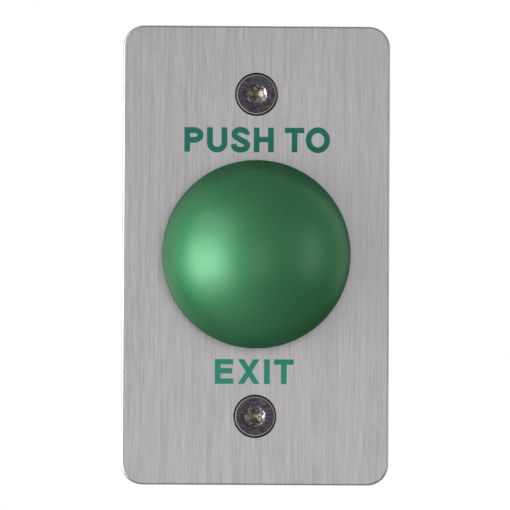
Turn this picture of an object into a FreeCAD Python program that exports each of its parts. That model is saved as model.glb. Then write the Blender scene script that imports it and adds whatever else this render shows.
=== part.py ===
"""Door exit button: a brushed steel plate with a green domed push button.

The plate lies in the XZ plane with its back on y = 0, where it meets the wall. The dome
stands out of its front, towards -Y, and the switch reaches back into the wall, towards +Y.
The origin is half way between the two wall screws, on the plate's back face. +Z is up.
All lengths are in millimetres and all angles in degrees.
"""

import FreeCAD, Part
import Sketcher
import math
import os
import re

# Driving sizes, each in a spreadsheet cell of its own
SIZES = {
    # face plate
    "plate_width": 50.0,
    "plate_height": 86.0,
    "plate_thickness": 2.0,
    "plate_corner_radius": 4.0,
    "plate_edge_radius": 0.4,
    # wall screws, countersunk into the plate
    "screw_pitch": 60.3,
    "screw_diameter": 4.0,
    "screw_length": 25.0,
    "screw_head_diameter": 7.5,
    "screw_head_rim": 0.25,
    "screw_head_bevel_width": 0.3,
    "screw_head_bevel_depth": 0.12,
    "screw_head_sink": 0.05,
    "screw_tip_bevel": 0.5,
    "screw_hole_clearance": 0.25,
    "countersink_angle": 90.0,
    "upper_screw_turn": 47.0,
    "lower_screw_turn": 10.0,
    # six-lobe drive socket in each wall screw
    "socket_width": 3.95,
    "socket_waist": 2.85,
    "socket_lobe_radius": 0.38,
    "socket_depth": 1.6,
    "socket_point_angle": 120.0,
    # switch barrel, through the middle of the plate
    "barrel_length": 17.5,
    "barrel_end_bevel": 0.6,
    "barrel_hole_clearance": 0.15,
    "barrel_rear_wall": 1.5,
    "barrel_front_wall": 6.7,
    "flange_overlap": 2.5,
    "flange_thickness": 2.2,
    "flange_rounding": 0.6,
    "cover_ledge": 1.5,
    "base_seat_depth": 3.0,
    # gasket under the flange
    "gasket_thickness": 0.5,
    "gasket_setback": 0.3,
    # toothed washer and nut behind the plate
    "washer_thickness": 0.8,
    "washer_rim_width": 1.6,
    "washer_tooth_count": 12,
    "washer_tooth_length": 1.8,
    "washer_tooth_root": 3.6,
    "washer_tooth_tip": 2.2,
    "washer_tooth_clearance": 0.1,
    "nut_thickness": 4.0,
    "nut_chamfer_angle": 30.0,
    "nut_thread_clearance": 0.02,
    # domed cap
    "cap_diameter": 35.0,
    "cap_dome_height": 13.5,
    "cap_skirt_height": 2.0,
    "cap_rim_gap": 5.2,
    "cap_shoulder_radius": 3.0,
    "cap_rim_rounding": 0.8,
    "cap_wall": 2.9,
    "cap_recess_depth": 6.0,
    "cap_recess_rounding": 1.2,
    "cap_boss_diameter": 13.0,
    # plunger that carries the cap
    "button_travel": 4.0,
    "stop_clearance": 0.1,
    "plunger_diameter": 10.0,
    "plunger_clearance": 0.05,
    "stud_diameter": 6.0,
    "stud_length": 6.5,
    "stud_bevel": 0.5,
    "stud_clearance": 0.02,
    "stud_hole_spare": 0.6,
    "drill_angle": 118.0,
    "collar_side_gap": 0.4,
    "collar_thickness": 1.6,
    "pilot_diameter": 9.4,
    "pilot_length": 1.4,
    # rubber ring on the plunger
    "seal_section": 1.0,
    "seal_clearance": 0.03,
    "seal_groove_width": 1.3,
    "seal_groove_inset": 0.3,
    # return spring
    "spring_wire": 0.8,
    "spring_side_gap": 0.5,
    "spring_turns": 4.0,
    # cover over the contact chamber
    "cover_thickness": 1.2,
    "cover_clearance": 0.05,
    "cover_lip_height": 0.8,
    "cover_lip_width": 0.8,
    # sliding contact carrier
    "stem_diameter": 5.0,
    "stem_side_gap": 0.3,
    "stem_pin_diameter": 3.0,
    "stem_pin_length": 2.4,
    "stem_pin_clearance": 0.05,
    "stem_pin_spare": 0.3,
    "carrier_front_gap": 0.4,
    "carrier_width": 5.0,
    "carrier_end_wall": 1.0,
    "carrier_side_wall": 0.9,
    "carrier_edge_radius": 0.3,
    "window_length": 5.0,
    "window_height": 2.8,
    "window_offset": 3.6,
    "peg_diameter": 1.4,
    "peg_height": 0.7,
    # contact bridges, one normally closed and one normally open
    "bridge_length": 11.865,
    "bridge_thickness": 0.6,
    "bridge_edge_gap": 0.2,
    "bridge_end_gap": 0.3,
    "bridge_corner_radius": 0.5,
    "tip_diameter": 1.8,
    "tip_height": 0.5,
    "tip_inset": 1.1,
    "tip_rest_gap": 0.02,
    "closed_overtravel": 1.0,
    "open_contact_gap": 2.0,
    # springs in the carrier's windows
    "contact_spring_wire": 0.3,
    "contact_spring_side_gap": 0.12,
    "contact_spring_turns": 4.0,
    # terminal strips
    "strip_thickness": 0.6,
    "strip_width": 2.4,
    "strip_bend_radius": 0.3,
    "strip_arm_overlap": 0.15,
    "strip_slot_gap": 0.05,
    # moulded switch base
    "base_fit_gap": 0.05,
    "base_spigot_wall": 0.9,
    "base_shoulder_width": 0.65,
    "base_end_bevel": 0.4,
    "base_rim_wall": 0.9,
    "base_rim_height": 4.4,
    "base_floor": 2.8,
    "chamber_side_gap": 0.2,
    "chamber_spare": 0.4,
    "barrier_width": 2.4,
    "wire_notch_width": 3.4,
    # terminal screws and wire clamps
    "terminal_side_gap": 0.4,
    "terminal_screw_diameter": 2.5,
    "terminal_screw_reach": 3.6,
    "terminal_head_diameter": 4.4,
    "terminal_head_height": 1.7,
    "terminal_head_rounding": 0.4,
    "terminal_head_side_gap": 0.7,
    "terminal_slot_width": 0.7,
    "terminal_slot_depth": 0.8,
    "first_slot_turn": 25.0,
    "slot_turn_step": 40.0,
    "terminal_thread_gap": 0.02,
    "relief_hole_gap": 0.2,
    "relief_hole_spare": 0.3,
    "clamp_width": 4.6,
    "clamp_corner_radius": 1.2,
    "clamp_thickness": 0.8,
}

# Values worked out from the sizes. A front, back, end, face, floor or top is a place along
# Y, and a radius, offset, width or length is measured from the button's axis.
PLACES = {
    "bridge_half_length": "bridge_length / 2",
    "strip_inner": "bridge_half_length + bridge_end_gap",
    "strip_outer": "strip_inner + strip_thickness",
    "strip_low": "window_offset - strip_width / 2",
    "strip_high": "window_offset + strip_width / 2",
    "chamber_radius": "sqrt(strip_outer ^ 2 + strip_high ^ 2) + chamber_side_gap",
    "spigot_radius": "chamber_radius + base_spigot_wall",
    "seat_radius": "spigot_radius + base_fit_gap",
    "plate_front": "-plate_thickness",
    "flange_back": "plate_front - gasket_thickness",
    "flange_front": "flange_back - flange_thickness",
    "barrel_radius": "seat_radius + barrel_rear_wall",
    "flange_radius": "barrel_radius + flange_overlap",
    "gasket_radius": "flange_radius - gasket_setback",
    "barrel_hole_radius": "barrel_radius + barrel_hole_clearance",
    "barrel_end": "flange_back + barrel_length",
    "barrel_shoulder": "flange_front + barrel_front_wall",
    "bore_radius": "plunger_diameter / 2",
    "spring_room_radius": "seat_radius - cover_ledge",
    "cover_front": "barrel_end - base_seat_depth",
    "cover_back": "cover_front + cover_thickness",
    "washer_inner_radius": "barrel_radius + washer_tooth_clearance",
    "washer_rim_radius": "washer_inner_radius + washer_tooth_length",
    "washer_outer_radius": "washer_rim_radius + washer_rim_width",
    "nut_front": "washer_thickness",
    "nut_back": "nut_front + nut_thickness",
    "nut_flat_radius": "flange_radius",
    "nut_corner_radius": "nut_flat_radius / cos(30)",
    "nut_chamfer_drop": "(nut_corner_radius - nut_flat_radius) * tan(nut_chamfer_angle)",
    "cap_radius": "cap_diameter / 2",
    "cap_rim": "plate_front - cap_rim_gap",
    "dome_base": "cap_rim - cap_skirt_height",
    "cap_apex": "dome_base - cap_dome_height",
    "dome_radius": "(cap_radius ^ 2 + cap_dome_height ^ 2) / (2 * cap_dome_height)",
    "dome_centre": "cap_apex + dome_radius",
    "shoulder_inset": "cap_radius - cap_shoulder_radius",
    "shoulder_depth": "sqrt((dome_radius - cap_shoulder_radius) ^ 2 - shoulder_inset ^ 2)",
    "shoulder_share": "dome_radius / (dome_radius - cap_shoulder_radius)",
    "recess_side_radius": "cap_radius - cap_wall",
    "cap_ceiling": "cap_rim - cap_recess_depth",
    "boss_radius": "cap_boss_diameter / 2",
    "boss_face": "flange_front - button_travel - stop_clearance",
    "stud_radius": "stud_diameter / 2",
    "stud_end": "boss_face - stud_length",
    "stud_hole_radius": "stud_radius + stud_clearance",
    "stud_hole_end": "stud_end - stud_hole_spare",
    "stud_hole_point": "stud_hole_end - stud_hole_radius / tan(drill_angle / 2)",
    "plunger_radius": "bore_radius - plunger_clearance",
    "seal_groove_front": "flange_front + seal_groove_inset",
    "seal_groove_back": "seal_groove_front + seal_groove_width",
    "seal_ring_radius": "bore_radius - seal_clearance - seal_section / 2",
    "seal_groove_radius": "bore_radius - 2 * seal_clearance - seal_section",
    "collar_radius": "spring_room_radius - collar_side_gap",
    "collar_back": "barrel_shoulder + collar_thickness",
    "pilot_radius": "pilot_diameter / 2",
    "pilot_end": "collar_back + pilot_length",
    "spring_radius": "pilot_radius + spring_side_gap + spring_wire / 2",
    "stem_radius": "stem_diameter / 2",
    "stem_pin_radius": "stem_pin_diameter / 2",
    "stem_pin_front": "pilot_end - stem_pin_length",
    "stem_hole_radius": "stem_radius + stem_side_gap",
    "carrier_front": "cover_back + carrier_front_gap",
    "window_front": "carrier_front + carrier_end_wall",
    "window_back": "window_front + window_length",
    "carrier_back": "window_back + carrier_end_wall",
    "carrier_half_height": "window_offset + window_height / 2 + carrier_side_wall",
    "bridge_half_width": "window_height / 2 - bridge_edge_gap",
    "closed_bridge_front": "window_front + closed_overtravel",
    "closed_bridge_back": "closed_bridge_front + bridge_thickness",
    "open_bridge_front": "window_back - bridge_thickness",
    "closed_arm_back": "closed_bridge_front - 2 * tip_height - tip_rest_gap",
    "closed_arm_front": "closed_arm_back - strip_thickness",
    "open_arm_front": "window_back + 2 * tip_height + open_contact_gap",
    "open_arm_back": "open_arm_front + strip_thickness",
    "tip_offset": "bridge_half_length - tip_inset",
    "strip_arm_end": "tip_offset - tip_diameter / 2 - strip_arm_overlap",
    "chamber_back": "carrier_back + button_travel + chamber_spare",
    "recess_floor": "chamber_back + base_floor",
    "base_end": "recess_floor + base_rim_height",
    "base_radius": "spigot_radius + base_shoulder_width",
    "rim_radius": "base_radius - base_rim_wall",
    "pad_back": "recess_floor + strip_thickness",
    "clamp_back": "pad_back + clamp_thickness",
    "terminal_offset": "(rim_radius - terminal_head_diameter / 2 - terminal_head_side_gap)"
    " / sqrt(2)",
    "terminal_screw_tip": "clamp_back - terminal_screw_reach",
    "terminal_head_back": "clamp_back + terminal_head_height",
    "pad_low": "barrier_width / 2 + terminal_side_gap",
    "pad_high": "terminal_offset + clamp_width / 2",
    "pad_radius": "rim_radius - terminal_side_gap",
    "pad_side_end": "sqrt(pad_radius ^ 2 - strip_outer ^ 2)",
    "pad_top_end": "sqrt(pad_radius ^ 2 - pad_high ^ 2)",
    "screw_radius": "screw_diameter / 2",
    "screw_head_radius": "screw_head_diameter / 2",
    "head_top": "plate_front + screw_head_sink",
    "head_rim_back": "head_top + screw_head_rim",
    "head_back": "head_rim_back"
    " + (screw_head_radius - screw_radius) / tan(countersink_angle / 2)",
    "screw_tip": "head_top + screw_length",
    "countersink_radius": "screw_head_radius"
    " + (screw_head_rim + screw_head_sink) * tan(countersink_angle / 2)",
    "socket_floor": "head_top + socket_depth",
    "socket_point": "socket_floor + socket_waist / 2 / tan(socket_point_angle / 2)",
    "lobe_centre": "socket_width / 2 - socket_lobe_radius",
    "flute_radius": "(lobe_centre ^ 2 + socket_waist ^ 2 / 4"
    " - lobe_centre * socket_waist * cos(30) - socket_lobe_radius ^ 2)"
    " / (2 * socket_lobe_radius - socket_waist + 2 * lobe_centre * cos(30))",
    "flute_centre": "socket_waist / 2 + flute_radius",
    "lobe_share": "socket_lobe_radius / (socket_lobe_radius + flute_radius)",
}

NAME = re.compile(r"[a-z][a-z0-9_]*")


def cells(text):
    """An expression on named sizes and places, as the document's own expressions say it."""

    def cell(found):
        name = found.group()
        if name in SIZES:
            return "Sizes." + name
        if name in PLACES:
            return "Places." + name
        return name

    return NAME.sub(cell, text)


def make_sheet(doc):
    """The spreadsheet of driving sizes."""
    sheet = doc.addObject("Spreadsheet::Sheet", "Sizes")
    for row, (name, size) in enumerate(SIZES.items(), start=1):
        sheet.set(f"A{row}", name)
        sheet.set(f"B{row}", str(size))
        sheet.setAlias(f"B{row}", name)
    doc.recompute()


def make_places(doc):
    """The set of values that follow from the spreadsheet."""
    places = doc.addObject("App::VarSet", "Places")
    for name in PLACES:
        places.addProperty("App::PropertyFloat", name, "Places")
    for name, text in PLACES.items():
        places.setExpression(name, cells(text))
    doc.recompute()


def value(owner, text):
    """What an expression on sizes and places comes to."""
    return float(owner.Document.Places.evalExpression(cells(text)))


def new_body(doc, name):
    """A body whose label names its sub-part."""
    body = doc.addObject("PartDesign::Body", name)
    body.Label = name
    return body


def origin_item(body, role):
    """A plane or axis of the body's own origin."""
    return next(item for item in body.Origin.OriginFeatures if item.Role == role)


def tie_point(sketch, geometry, end, x, y):
    """Holds one point of the geometry at x and y. Either may be None, and stays free."""
    for kind, text in (("DistanceX", x), ("DistanceY", y)):
        if text is not None:
            distance = value(sketch, text)
            rule = Sketcher.Constraint(kind, -1, 1, geometry, end, distance)
            index = sketch.addConstraint(rule)
            sketch.setExpression(f"Constraints[{index}]", cells(text))


def circle(x, y, radius):
    """Draws a circle, once it is given a sketch."""

    def draw(sketch):
        centre = FreeCAD.Vector(value(sketch, x), value(sketch, y), 0)
        ring = Part.Circle(centre, FreeCAD.Vector(0, 0, 1), value(sketch, radius))
        geometry = sketch.addGeometry(ring, False)
        tie_point(sketch, geometry, 3, x, y)
        index = sketch.addConstraint(Sketcher.Constraint("Radius", geometry, ring.Radius))
        sketch.setExpression(f"Constraints[{index}]", cells(radius))

    return draw


def add_arc(sketch, start, end, centre):
    """Adds the shorter arc from start to end, and gives the numbers of its two ends."""
    angles = [math.atan2(spot.y - centre.y, spot.x - centre.x) for spot in (start, end)]
    backwards = (angles[1] - angles[0]) % (2 * math.pi) > math.pi
    if backwards:
        angles.reverse()
    if angles[1] < angles[0]:
        angles[1] += 2 * math.pi
    ring = Part.Circle(centre, FreeCAD.Vector(0, 0, 1), (start - centre).Length)
    geometry = sketch.addGeometry(Part.ArcOfCircle(ring, *angles), False)
    return (geometry, 2, 1) if backwards else (geometry, 1, 2)


def outline(*corners):
    """Draws a closed outline, once it is given a sketch. Each corner is its x and y. Where
    a corner goes on with x and y of a centre, an arc about it leads to the next corner."""

    def draw(sketch):
        spots = [FreeCAD.Vector(*(value(sketch, c) for c in corner[:2]), 0) for corner in corners]
        edges = []
        for index, corner in enumerate(corners):
            start = spots[index]
            end = spots[(index + 1) % len(spots)]
            if len(corner) == 2:
                edges.append((sketch.addGeometry(Part.LineSegment(start, end), False), 1, 2))
            else:
                centre = FreeCAD.Vector(*(value(sketch, c) for c in corner[2:]), 0)
                edges.append(add_arc(sketch, start, end, centre))
        for index, (edge, head, tail) in enumerate(edges):
            following, following_head, _ = edges[(index + 1) % len(edges)]
            joint = Sketcher.Constraint("Coincident", edge, tail, following, following_head)
            sketch.addConstraint(joint)
        for index, (edge, head, tail) in enumerate(edges):
            tie_point(sketch, edge, head, *corners[index][:2])
            if len(corners[index]) == 4:
                chord = spots[(index + 1) % len(spots)] - spots[index]
                x, y = corners[index][2:]
                steep = abs(chord.y) >= abs(chord.x)
                tie_point(sketch, edge, 3, x if steep else None, None if steep else y)

    return draw


def sketch_on(body, role, lift, drawings):
    """A sketch on one plane of the body's origin, lifted along that plane's normal."""
    plane = origin_item(body, role)
    sketch = body.newObject("Sketcher::SketchObject", f"{body.Name}_sketch")
    sketch.AttachmentSupport = (plane, [""])
    sketch.MapMode = "FlatFace"
    sketch.setExpression("AttachmentOffset.Base.z", cells(lift))
    for draw in drawings:
        draw(sketch)
    return sketch


def turned(body, *drawings, kind="Revolution"):
    """Turns a profile in x and y about the button's axis: x is the radius, y the depth."""
    sketch = sketch_on(body, "XY_Plane", "0", drawings)
    feature = body.newObject(f"PartDesign::{kind}", f"{body.Name}_{kind.lower()}")
    feature.Profile = sketch
    feature.ReferenceAxis = (sketch, ["V_Axis"])
    feature.Angle = 360
    return feature


def slab(body, front, back, *drawings):
    """A plate of material between two depths. Its drawings are in x and z."""
    sketch = sketch_on(body, "XZ_Plane", f"-({front})", drawings)
    pad = body.newObject("PartDesign::Pad", f"{body.Name}_pad")
    pad.Profile = sketch
    pad.Reversed = True
    pad.setExpression("Length", cells(f"({back}) - ({front})"))
    return pad


def hollow(body, front, back, *drawings):
    """Cuts away what lies between two depths. Its drawings are in x and z."""
    sketch = sketch_on(body, "XZ_Plane", f"-({front})", drawings)
    pocket = body.newObject("PartDesign::Pocket", f"{body.Name}_pocket")
    pocket.Profile = sketch
    pocket.setExpression("Length", cells(f"({back}) - ({front})"))
    return pocket


def ring_pattern(body, feature, count):
    """Repeats a feature round the button's axis."""
    pattern = body.newObject("PartDesign::PolarPattern", f"{body.Name}_pattern")
    pattern.Originals = [feature]
    pattern.Axis = (origin_item(body, "Y_Axis"), [""])
    pattern.Angle = 360
    pattern.setExpression("Occurrences", cells(count))
    body.Tip = pattern
    return pattern


def round_edges(body, feature, chosen, radius):
    """Rounds those edges of the feature that the chosen test picks."""
    body.Document.recompute()
    edges = feature.Shape.Edges
    names = [f"Edge{number}" for number, edge in enumerate(edges, start=1) if chosen(edge)]
    fillet = body.newObject("PartDesign::Fillet", f"{body.Name}_fillet")
    fillet.Base = (feature, names)
    fillet.setExpression("Radius", cells(radius))
    return fillet


def coil(body, radius, wire, front, back, turns):
    """A wire wound about the button's axis, from one seat to the other. Its section is an
    octagon, drawn round the real wire's circle, so two of its flats meet the seats."""
    reach = f"{wire} / 2 / cos(22.5)"
    corners = [
        (
            f"{radius} + {reach} * cos({22.5 + 45 * side})",
            f"({front}) + {wire} / 2 + {reach} * sin({22.5 + 45 * side})",
        )
        for side in range(8)
    ]
    sketch = sketch_on(body, "XY_Plane", "0", [outline(*corners)])
    body.Document.recompute()
    helix = body.newObject("PartDesign::AdditiveHelix", f"{body.Name}_helix")
    helix.Profile = sketch
    helix.ReferenceAxis = (sketch, ["V_Axis"])
    helix.Mode = "height-turns-angle"
    helix.setExpression("Height", cells(f"({back}) - ({front}) - {wire}"))
    helix.setExpression("Turns", cells(turns))
    return helix


def copies(doc, name, body, places):
    """One sub-part of like pieces. Each place is x, z and a turn about the button's axis."""
    links = []
    for x, z, turn in places:
        link = doc.addObject("App::Link", f"{name}_copy")
        link.LinkedObject = body
        axis = FreeCAD.Rotation(FreeCAD.Vector(0, 1, 0), 1)
        link.Placement = FreeCAD.Placement(FreeCAD.Vector(), axis)
        link.setExpression("Placement.Base.x", cells(x))
        link.setExpression("Placement.Base.z", cells(z))
        link.setExpression("Placement.Rotation.Angle", cells(turn))
        links.append(link)
    group = doc.addObject("Part::Compound", name)
    group.Label = name
    group.Links = links
    return group


def rectangle(low_x, high_x, low_z, high_z):
    return outline((low_x, low_z), (high_x, low_z), (high_x, high_z), (low_x, high_z))


def rounded_rectangle(half_width, half_height, radius):
    """A rectangle about the axis whose corners are quarter circles."""
    near_x = f"({half_width}) - {radius}"
    near_z = f"({half_height}) - {radius}"
    return outline(
        (f"-({near_x})", f"-({half_height})"),
        (near_x, f"-({half_height})", near_x, f"-({near_z})"),
        (half_width, f"-({near_z})"),
        (half_width, near_z, near_x, near_z),
        (near_x, half_height),
        (f"-({near_x})", half_height, f"-({near_x})", near_z),
        (f"-({half_width})", near_z),
        (f"-({half_width})", f"-({near_z})", f"-({near_x})", f"-({near_z})"),
    )


def make_face_plate(doc):
    """The steel plate, with a hole for the barrel and two countersunk screw holes."""
    body = new_body(doc, "face_plate")
    shape = rounded_rectangle("plate_width / 2", "plate_height / 2", "plate_corner_radius")
    sheet = slab(body, "plate_front", "0", shape)
    front = value(body, "plate_front")
    near = 0.01

    def in_front(edge):
        return edge.BoundBox.YMax < front + near

    round_edges(body, sheet, in_front, "plate_edge_radius")
    hollow(body, "plate_front", "0", circle("0", "0", "barrel_hole_radius"))
    doc.recompute()
    centres = [circle("0", f"{side} * screw_pitch / 2", "screw_radius") for side in (1, -1)]
    sketch = sketch_on(body, "XZ_Plane", "plate_thickness", centres)
    doc.recompute()
    hole = body.newObject("PartDesign::Hole", "face_plate_screw_holes")
    hole.Profile = sketch
    hole.DepthType = "ThroughAll"
    hole.HoleCutType = "Countersink"
    hole.setExpression("Diameter", cells("screw_diameter + 2 * screw_hole_clearance"))
    hole.setExpression("HoleCutDiameter", cells("2 * countersink_radius"))
    hole.setExpression("HoleCutCountersinkAngle", cells("countersink_angle"))
    return body


def socket_outline():
    """The six-lobe socket: six round lobes joined by six hollow flutes, all tangent."""
    corners = []
    for lobe in range(6):
        middle = f"{60 * lobe}"
        lobe_x = f"lobe_centre * cos({middle})"
        lobe_z = f"lobe_centre * sin({middle})"
        for side in (-30, 30):
            flute_x = f"flute_centre * cos({60 * lobe + side})"
            flute_z = f"flute_centre * sin({60 * lobe + side})"
            touch_x = f"{lobe_x} + lobe_share * ({flute_x} - {lobe_x})"
            touch_z = f"{lobe_z} + lobe_share * ({flute_z} - {lobe_z})"
            centre = (lobe_x, lobe_z) if side < 0 else (flute_x, flute_z)
            corners.append((touch_x, touch_z, *centre))
    return outline(*corners)


def make_mounting_screws(doc):
    """Two countersunk machine screws that hold the plate to a wall box."""
    body = doc.addObject("PartDesign::Body", "wall_screw")
    turned(
        body,
        outline(
            ("0", "head_top"),
            ("screw_head_radius - screw_head_bevel_width", "head_top"),
            ("screw_head_radius", "head_top + screw_head_bevel_depth"),
            ("screw_head_radius", "head_rim_back"),
            ("screw_radius", "head_back"),
            ("screw_radius", "screw_tip - screw_tip_bevel"),
            ("screw_radius - screw_tip_bevel", "screw_tip"),
            ("0", "screw_tip"),
        ),
    )
    doc.recompute()
    hollow(body, "head_top", "socket_floor", socket_outline())
    doc.recompute()
    point = outline(
        ("0", "socket_floor"),
        ("socket_waist / 2", "socket_floor"),
        ("0", "socket_point"),
    )
    turned(body, point, kind="Groove")
    return copies(
        doc,
        "mounting_screws",
        body,
        [("0", "screw_pitch / 2", "upper_screw_turn"), ("0", "-screw_pitch / 2", "lower_screw_turn")],
    )


def make_flange_gasket(doc):
    body = new_body(doc, "flange_gasket")
    edge = circle("0", "0", "gasket_radius")
    slab(body, "flange_back", "plate_front", edge, circle("0", "0", "barrel_hole_radius"))
    return body


def make_barrel(doc):
    """The threaded barrel: a flange in front, a guide bore, room for the spring and a seat."""
    body = new_body(doc, "barrel")
    turned(
        body,
        outline(
            ("bore_radius", "flange_front"),
            (
                "flange_radius - flange_rounding",
                "flange_front",
                "flange_radius - flange_rounding",
                "flange_front + flange_rounding",
            ),
            ("flange_radius", "flange_front + flange_rounding"),
            ("flange_radius", "flange_back"),
            ("barrel_radius", "flange_back"),
            ("barrel_radius", "barrel_end - barrel_end_bevel"),
            ("barrel_radius - barrel_end_bevel", "barrel_end"),
            ("seat_radius", "barrel_end"),
            ("seat_radius", "cover_front"),
            ("spring_room_radius", "cover_front"),
            ("spring_room_radius", "barrel_shoulder"),
            ("bore_radius", "barrel_shoulder"),
        ),
    )
    return body


def make_lock_washer(doc):
    """A washer whose inner teeth reach in to the barrel."""
    body = new_body(doc, "lock_washer")
    rim = circle("0", "0", "washer_outer_radius")
    slab(body, "0", "washer_thickness", rim, circle("0", "0", "washer_rim_radius"))
    doc.recompute()
    tooth = outline(
        ("-washer_tooth_tip / 2", "washer_inner_radius"),
        ("washer_tooth_tip / 2", "washer_inner_radius"),
        ("washer_tooth_root / 2", "washer_rim_radius + washer_rim_width / 2"),
        ("-washer_tooth_root / 2", "washer_rim_radius + washer_rim_width / 2"),
    )
    ring_pattern(body, slab(body, "0", "washer_thickness", tooth), "washer_tooth_count")
    return body


def make_hex_nut(doc):
    """The barrel's nut, with its corners chamfered on both faces."""
    body = new_body(doc, "hex_nut")
    corners = [
        (f"nut_corner_radius * cos({60 * side})", f"nut_corner_radius * sin({60 * side})")
        for side in range(6)
    ]
    bore = circle("0", "0", "barrel_radius + nut_thread_clearance")
    slab(body, "nut_front", "nut_back", outline(*corners), bore)
    doc.recompute()
    chamfers = [
        outline(
            ("nut_flat_radius", face),
            ("nut_corner_radius + nut_corner_radius - nut_flat_radius", face),
            (
                "nut_corner_radius + nut_corner_radius - nut_flat_radius",
                f"{face} {inwards} 2 * nut_chamfer_drop",
            ),
        )
        for face, inwards in (("nut_front", "+"), ("nut_back", "-"))
    ]
    turned(body, *chamfers, kind="Groove")
    return body


def make_dome_cap(doc):
    """The green cap: a dome on a short skirt, hollow behind round a tapped boss."""
    body = new_body(doc, "dome_cap")
    turned(
        body,
        outline(
            ("0", "cap_apex", "0", "dome_centre"),
            (
                "shoulder_inset * shoulder_share",
                "dome_centre - shoulder_depth * shoulder_share",
                "shoulder_inset",
                "dome_centre - shoulder_depth",
            ),
            ("cap_radius", "dome_centre - shoulder_depth"),
            (
                "cap_radius",
                "cap_rim - cap_rim_rounding",
                "cap_radius - cap_rim_rounding",
                "cap_rim - cap_rim_rounding",
            ),
            ("cap_radius - cap_rim_rounding", "cap_rim"),
            ("recess_side_radius", "cap_rim"),
            (
                "recess_side_radius",
                "cap_ceiling + cap_recess_rounding",
                "recess_side_radius - cap_recess_rounding",
                "cap_ceiling + cap_recess_rounding",
            ),
            ("recess_side_radius - cap_recess_rounding", "cap_ceiling"),
            ("boss_radius", "cap_ceiling"),
            ("boss_radius", "boss_face"),
            ("stud_hole_radius", "boss_face"),
            ("stud_hole_radius", "stud_hole_end"),
            ("0", "stud_hole_point"),
        ),
    )
    return body


def make_plunger(doc):
    """The plunger: a stud for the cap, a ring groove, a stop collar and a spring pilot."""
    body = new_body(doc, "plunger")
    turned(
        body,
        outline(
            ("0", "stud_end"),
            ("stud_radius - stud_bevel", "stud_end"),
            ("stud_radius", "stud_end + stud_bevel"),
            ("stud_radius", "boss_face"),
            ("plunger_radius", "boss_face"),
            ("plunger_radius", "seal_groove_front"),
            ("seal_groove_radius", "seal_groove_front"),
            ("seal_groove_radius", "seal_groove_back"),
            ("plunger_radius", "seal_groove_back"),
            ("plunger_radius", "barrel_shoulder"),
            ("collar_radius", "barrel_shoulder"),
            ("collar_radius", "collar_back"),
            ("pilot_radius", "collar_back"),
            ("pilot_radius", "pilot_end"),
            ("stem_pin_radius + stem_pin_clearance", "pilot_end"),
            ("stem_pin_radius + stem_pin_clearance", "stem_pin_front - stem_pin_spare"),
            ("0", "stem_pin_front - stem_pin_spare"),
        ),
    )
    return body


def make_plunger_seal(doc):
    body = new_body(doc, "plunger_seal")
    middle = "(seal_groove_front + seal_groove_back) / 2"
    turned(body, circle("seal_ring_radius", middle, "seal_section / 2"))
    return body


def make_return_spring(doc):
    body = new_body(doc, "return_spring")
    coil(body, "spring_radius", "spring_wire", "collar_back", "cover_front", "spring_turns")
    return body


def make_chamber_cover(doc):
    """The disc that closes the contact chamber, with a collar round the stem."""
    body = new_body(doc, "chamber_cover")
    turned(
        body,
        outline(
            ("stem_hole_radius", "cover_front - cover_lip_height"),
            ("stem_hole_radius + cover_lip_width", "cover_front - cover_lip_height"),
            ("stem_hole_radius + cover_lip_width", "cover_front"),
            ("seat_radius - cover_clearance", "cover_front"),
            ("seat_radius - cover_clearance", "cover_back"),
            ("stem_hole_radius", "cover_back"),
        ),
    )
    return body


def make_contact_carrier(doc):
    """The slider: a pin in the plunger, a stem and a block with a window for each bridge."""
    body = new_body(doc, "contact_carrier")
    half_width = "carrier_width / 2"
    block = slab(
        body,
        "carrier_front",
        "carrier_back",
        rectangle(f"-{half_width}", half_width, "-carrier_half_height", "carrier_half_height"),
    )

    def runs_along(edge):
        return edge.BoundBox.YLength > edge.BoundBox.DiagonalLength / 2

    round_edges(body, block, runs_along, "carrier_edge_radius")
    doc.recompute()
    windows = [
        rectangle(
            "window_front",
            "window_back",
            f"{side} * window_offset - window_height / 2",
            f"{side} * window_offset + window_height / 2",
        )
        for side in (1, -1)
    ]
    through = body.newObject("PartDesign::Pocket", "contact_carrier_windows")
    through.Profile = sketch_on(body, "YZ_Plane", "0", windows)
    through.Midplane = True
    through.setExpression("Length", cells("2 * carrier_width"))
    doc.recompute()
    turned(
        body,
        outline(
            ("0", "stem_pin_front"),
            ("stem_pin_radius", "stem_pin_front"),
            ("stem_pin_radius", "pilot_end"),
            ("stem_radius", "pilot_end"),
            ("stem_radius", "carrier_front + carrier_end_wall / 2"),
            ("0", "carrier_front + carrier_end_wall / 2"),
        ),
    )
    doc.recompute()
    peg_root = "carrier_end_wall / 2"
    closed_peg = circle("0", "window_offset", "peg_diameter / 2")
    slab(body, "window_back - peg_height", f"window_back + {peg_root}", closed_peg)
    open_peg = circle("0", "-window_offset", "peg_diameter / 2")
    slab(body, f"window_front - {peg_root}", "window_front + peg_height", open_peg)
    return body


def make_bridge(doc, name, front, offset):
    """A contact bridge: a flat bar through one window of the carrier."""
    body = new_body(doc, name)
    radius = "bridge_corner_radius"
    bar = rounded_rectangle("bridge_half_length", "bridge_half_width", radius)
    slab(body, front, f"{front} + bridge_thickness", bar)
    body.setExpression("Placement.Base.z", cells(offset))
    return body


def make_tips(doc, name, spots):
    """Silver contact tips, each a short round rivet head. A spot is x, z and its front."""
    tips = []
    for x, z, front in spots:
        tip = doc.addObject("PartDesign::Body", f"{name}_tip")
        slab(tip, "0", "tip_height", circle("0", "0", "tip_diameter / 2"))
        tip.setExpression("Placement.Base.x", cells(x))
        tip.setExpression("Placement.Base.y", cells(front))
        tip.setExpression("Placement.Base.z", cells(z))
        tips.append(tip)
    group = doc.addObject("Part::Compound", name)
    group.Label = name
    group.Links = tips
    return group


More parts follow.
